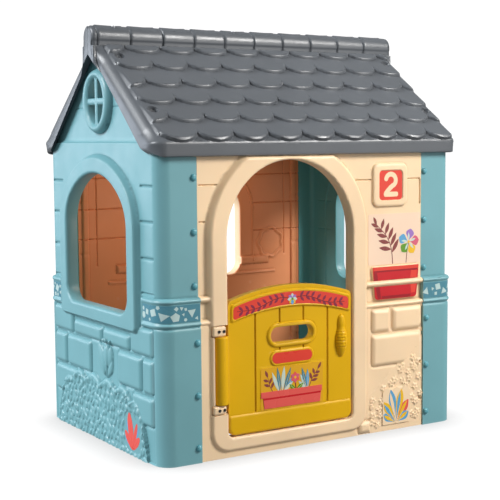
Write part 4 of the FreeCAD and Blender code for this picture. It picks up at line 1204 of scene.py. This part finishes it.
def pot_labels():
    place = front_place(FRONT_FACE + 7)
    upper = Art(place)
    upper.base(pot_outline(470, 511), POT_RED)
    upper.shape(outline_box(207, 500, 385, 510.5, 2), RED)
    upper.shape(pot_outline(495, 500, 4), POT_DARK)
    upper.shape([(212, 471), (226, 471), (222, 494), (211, 494)], POT_DARK)
    upper.shape([(352, 471), (378, 471), (379, 494), (356, 494)], RED)
    upper.finish("flower_pot_upper", slot="pot_film")
    lower = Art(place)
    foot = [(x, z) for x, z in outline_box(214.5, 411, 377.5, 470, 11) if z < 430]
    lower.base([(x, z) for x, z in foot if x > 296] + [(380, 451), (212, 451)]
               + [(x, z) for x, z in foot if x < 296], POT_RED)
    lower.shape([(226, 413), (238, 413), (232, 450), (217, 450)], POT_DARK)
    lower.shape([(243, 412.5), (352, 412.5), (356, 421), (240, 421)], POT_DARK)
    lower.shape([(356, 424), (371, 424), (376, 450), (354, 450)], RED)
    lower.finish("flower_pot_lower", slot="pot_film")


def mound_outline(left, right, foot, shoulder, count, rise):
    step = (right - left) / count
    top = [(right - step * (k + q), shoulder + rise * math.sin(math.pi * q))
           for k in range(count) for q in np.linspace(0, 1, 9)[:-1]]
    return [(left, foot), (right, foot), *top, (left, shoulder)]


def fan_label():
    """A fan of striped leaves."""
    art = Art(front_place(FRONT_FACE + 13))
    art.base(mound_outline(241, 349, 19, 119, 3, 15), CREAM_PRINT)
    root = (293, 22)
    for k, (reach, outer, inner) in enumerate((
            (58, SKY, YELLOW), (84, YELLOW, SKY), (108, SKY, CREAM_PRINT), (106, YELLOW, SKY),
            (84, CORAL, YELLOW), (58, SKY, YELLOW))):
        angle = 148 - 23.5 * k
        art.shape(leaf_outline(root, angle, reach, 27, 1.7, 13), outer, 1 + k % 2, 2)
        art.shape(leaf_outline(root, angle + 2.5, reach * 0.93, 11, 1.7, 13), inner, 3, 2)
        art.stroke([root, polar(root, angle - 3, reach * 0.6)], [1.5, 0.6], CREAM_PRINT, 4)
    art.finish("leaf_fan")


def film_shell(us, vs, outside, top, place, steps=()):
    """A film laid over a grid, for outlines that no single middle sees all of."""
    return shell(us, vs, outside, lambda u, v: np.full_like(u, top), lambda u, v: np.zeros_like(u), place,
                 steps)


def vine_label():
    """A red band with a winding vine and a small flower in its middle."""
    art = Art(front_place(LEAF_FACE + 3), 0.9)
    us, vs = ticks(LEFT_EDGE + 10, RIGHT_EDGE - 8), ticks(VINE_FOOT - 2, SHOULDER + LEAF_CROWN)
    outside = within(vine_band, 6.6)
    art.add(film_shell(us, vs, outside, art.top, art.place, [outside]), RED)
    high = SHOULDER + LEAF_CROWN - 42
    for side in (-1, 1):
        far = np.linspace(16, 188, 44)
        path = np.stack([LEAF_MIDDLE + side * far, high - far ** 2 / 1300 + 7 * np.sin(far / 27)], 1)
        art.stroke(path, np.linspace(2.2, 1.3, len(path)), TWIG, 2)
        for k in range(3, 43, 5):
            for tilt in (-48, 52):
                art.leaf(path[k], 90 - 90 * side + tilt * (1 if k % 2 else 0.85), 20, 8, PLUM, 1)
    centre = (LEAF_MIDDLE, high)
    for angle, colour in ((90, PALE), (140, LILAC), (40, LILAC), (185, PALE), (-5, PALE), (235, YELLOW),
                          (305, YELLOW), (270, SKY)):
        art.leaf(centre, angle, 17, 11, colour, 3)
    art.dot(centre, 4, LEAF_GREEN, 4)
    art.finish("vine", "door")


def twig(art, root, angle, length, count, leaf=24):
    stem = bent(root, polar(root, angle, length), 0.06)
    art.stroke(stem, np.linspace(2.4, 1.2, len(stem)), ROSEWOOD, 2)
    for k in range(count):
        spot = stem[int(round((0.3 + 0.6 * k / count) * (len(stem) - 1)))]
        side = 1 if k % 2 else -1
        art.leaf(spot, angle + side * 48, leaf * (1 - 0.06 * k), leaf * 0.36, ROSEWOOD, 2)
    art.leaf(stem[-1], angle, leaf, leaf * 0.36, ROSEWOOD, 2)


def planter_label():
    art = Art(front_place(LEAF_FACE + 1))
    art.base(outline_box(-203, 121.5, 15.5, 244.5, 3), GOLD_PAPER)
    twig(art, (-160, 170), 112, 50, 4)
    twig(art, (-34, 174), 58, 58, 5)
    for root, angle, length, width, colour in (
            (-140, 112, 66, 12, PALE), (-136, 98, 74, 12, TEAL), (-130, 84, 76, 13, PALE),
            (-124, 70, 74, 12, TEAL), (-118, 56, 58, 11, SKY), (-126, 38, 44, 10, PALE),
            (-42, 118, 52, 11, PALE), (-44, 104, 66, 12, TEAL), (-40, 90, 58, 11, SKY),
            (-46, 136, 36, 10, PALE), (-82, 140, 30, 11, LEAF_GREEN), (-80, 36, 32, 11, LEAF_GREEN)):
        art.leaf((root, 170), angle, length, width, colour, 3, CREAM_PRINT)
    art.stroke([(-81, 170), (-84, 205)], 2.2, WINE, 3)
    centre = (-84, 208)
    for k in range(6):
        art.leaf(centre, 90 + 60 * k, 17, 17 * 0.7, (CORAL, ROSE)[k % 2], 5)
    art.dot(centre, 4, YELLOW, 6)
    art.shape([(-192, 126), (4, 126), (8, 158), (11, 158), (11, 175), (-203, 175), (-203, 158), (-196, 158)],
              CORAL, 7)
    art.shape([(-195, 152), (6, 152), (7, 157), (-196, 157)], POT_RED, 8)
    art.finish("planter", "door")


def plaque_label():
    art = Art(front_place(LEAF_FACE + 3), 0.9)
    art.base([spot for side, start in ((1, -90), (-1, 90))
              for spot in circle((SLOT_MIDDLE + side * 54, SIGN_HEIGHT), 16, start, start + 180, 14)], RED)
    art.finish("plaque", "door")


def stones(low_u, high_u):
    """The band's mosaic: pale stones of three to five sides, large and small, with gaps between."""
    made, taken = [], []
    for attempt in range(260):
        size = random.uniform(11, 17) if attempt < 60 else random.uniform(5.5, 9)
        u, v = random.uniform(low_u, high_u), random.uniform(RIM_LOW + RIM_WIDTH + size, RIM_HIGH - size)
        if any(math.hypot(u - x, v - z) < 0.86 * (size + r) + 1.5 for x, z, r in taken):
            continue
        taken.append((u, v, size))
        corners, turn = (3, 4, 5)[len(made) % 3], random.uniform(0, 360)
        reach = size * random.uniform(0.84, 1.0, corners)
        made.append([polar((u, v), turn + 360 * k / corners, r) for k, r in enumerate(reach)])
    return made


def dense(corners, step=5.0):
    """The outline of a polygon with points all along its sides."""
    out = []
    for a, b in zip(corners, corners[1:] + corners[:1]):
        count = max(1, int(math.dist(a, b) / step))
        out += [(a[0] + (b[0] - a[0]) * k / count, a[1] + (b[1] - a[1]) * k / count) for k in range(count)]
    return out


def band_labels():
    """A film with a mosaic in the band's recess, round each corner of the house."""
    place = lambda u, v, h: gable_place(u, v, 5.5 + 7.5 * corner_share(u) + h)
    vs = np.linspace(RIM_LOW + RIM_WIDTH + 1, RIM_HIGH - 1, 10)
    for end, way, hand, side in CORNERS:
        spin = turned if side < 0 else same
        low_u, high_u = sorted((way * side * 285, way * side * (GABLE_END - 2)))
        art = Art(place)
        art.add(film_shell(np.linspace(low_u, high_u, 80), vs, uncut, art.top, place), BAND_BLUE)
        for stone in stones(low_u + 8, high_u - 8):
            art.add(plate(dense(stone), place, 0.5, 1.1, rings=4), MOSAIC)
        art.finish(f"{end}_{hand}_band", slot="band_film", spin=spin)


def plant_labels():
    """A red plant of round lobes on each gable's base, with slim blue leaves behind."""
    for name, spin in (("left_plant", turned), ("right_plant", same)):
        art = Art(lambda u, v, h: gable_place(u, v, 6.5 + h))
        art.base(mound_outline(159, 269, 11, 109, 3, 17), BASE_BLUE)
        root = (212, 16)
        for angle, reach, width in ((146, 66, 14), (116, 92, 12), (60, 88, 12)):
            art.leaf(root, angle, reach, width, SKY, 1)
        for angle, reach, width in ((134, 68, 23), (44, 62, 22), (70, 88, 18), (101, 108, 33)):
            art.shape(leaf_outline(root, angle, reach, width, 1.3, 21, 0.5), CORAL, 2, 2)
            art.stroke([root, polar(root, angle, reach * 0.72)], [1.6, 0.6], RED, 3)
        art.finish(name, slot="coral_film", spin=spin)


def finish_cad_nodes():
    """The hinge pins stay as packed, in zinc."""
    for name in ("upper_hinge_pin", "lower_hinge_pin"):
        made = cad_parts[name]
        made.data.materials.clear()
        made.data.materials.append(STEEL)


# ---------------- camera, light and floor, in metres

def camera():
    lens = bpy.data.cameras.new("camera")
    lens.lens, lens.sensor_width = 85.84, 36
    made = linked("camera", lens)
    yaw, pitch, roll = 31.91, 5.48, -0.44
    made.matrix_world = Matrix.Translation((-2.015, -3.245, 0.914))
    for angle, axis in ((-yaw, "Z"), (90 - pitch, "X"), (roll, "Z")):
        made.matrix_world = made.matrix_world @ Matrix.Rotation(math.radians(angle), 4, axis)
    bpy.context.scene.camera = made


def lamp(name, kind, power, colour, turn, spot=(0, 0, 0)):
    data = bpy.data.lights.new(name, kind)
    data.energy, data.color = power, colour
    made = linked(name, data)
    made.location = spot
    made.rotation_mode = "QUATERNION"
    made.rotation_quaternion = turn
    return made


def soft_box(name, spot, aim, size, power, colour):
    turn = (Vector(aim) - Vector(spot)).to_track_quat("-Z", "Y")
    made = lamp(name, "AREA", power, colour, turn, spot)
    made.data.shape, made.data.size = "SQUARE", size
    made.visible_camera = False


def glowing(name, shine):
    """A black material that only shines, in white."""
    material = blank(name)
    shader = sockets(material)
    shader["Base Color"].default_value = (0, 0, 0, 1)
    shader["Roughness"].default_value = 0.7
    shader["Emission Color"].default_value = (1, 1, 1, 1)
    shader["Emission Strength"].default_value = shine
    return material


def floor_white():
    """A white floor with a painted contact shadow: a little greyer where the house stands close over it."""
    material = glowing("floor_white", 1.0)
    tree = material.node_tree
    contact_shadow = node(tree, "ShaderNodeAmbientOcclusion", {"Distance": 0.16}, samples=12).outputs["AO"]
    # Ambient occlusion darkens the floor's glow near the house: a painted contact shadow.
    tree.links.new(mapped(tree, contact_shadow, 0.4, 0.97, 0.66, 1.04), sockets(material)["Emission Color"])
    return material


def stage_mesh(name, points, faces, material, unseen_by):
    """A piece of the studio that some kinds of light ray pass through."""
    mesh = bpy.data.meshes.new(name)
    mesh.from_pydata(points, [], faces)
    mesh.materials.append(material)
    made = linked(name, mesh)
    for ray in unseen_by:
        setattr(made, f"visible_{ray}", False)


def studio():
    """A pale floor with a painted contact shadow, under a white dome that only the camera sees, soft lamps
    and an even sky.
    """
    far = 40.0
    corners = [(-far, -far, 0), (far, -far, 0), (far, far, 0), (-far, far, 0)]
    stage_mesh("floor", corners, [(0, 1, 2, 3)], floor_white(), ("diffuse", "glossy"))
    points, faces = lathe([(38, -1), (38, 10), (30, 25), (0, 34)])
    stage_mesh("dome", points.tolist(), faces, glowing("dome_white", 1.05),
               ("diffuse", "glossy", "shadow", "transmission"))
    world = bpy.data.worlds.new("studio")
    bpy.context.scene.world = world
    world.use_nodes = True
    sky = world.node_tree.nodes["Background"].inputs
    sky["Color"].default_value = (1, 1, 1, 1)
    sky["Strength"].default_value = 0.28
    key = lamp("key", "SUN", 3.5, (0.94, 0.97, 1.0), Vector((-0.80, 0.22, 0.56)).to_track_quat("Z", "Y"))
    key.data.angle = math.radians(24)
    soft_box("front", (2.1, -2.9, 2.9), (0.1, 0, 0.6), 1.3, 174, (1.0, 0.98, 0.95))
    soft_box("low_front", (2.6, -4.2, 0.8), (0.2, 0, 0.9), 2.0, 22, (1.0, 0.98, 0.96))
    soft_box("back_left", (-3.4, 4.4, 1.5), (-0.4, 0, 0.7), 2.6, 90, (0.80, 0.88, 1.0))
    soft_box("glow", (-0.04, -0.13, 0.78), (-0.34, 0.37, 0.66), 0.3, 1.4, (1.0, 0.66, 0.48))
    bpy.context.scene.view_settings.view_transform = "Standard"


for build in (front_wall, back_wall, gable_walls, roof_halves, door, brackets, seam_screws, roof_screws,
              number_label, sprig_label, pot_labels, fan_label, vine_label, planter_label, plaque_label,
              band_labels, plant_labels, finish_cad_nodes, camera, studio):
    build()

bpy.context.view_layer.update()
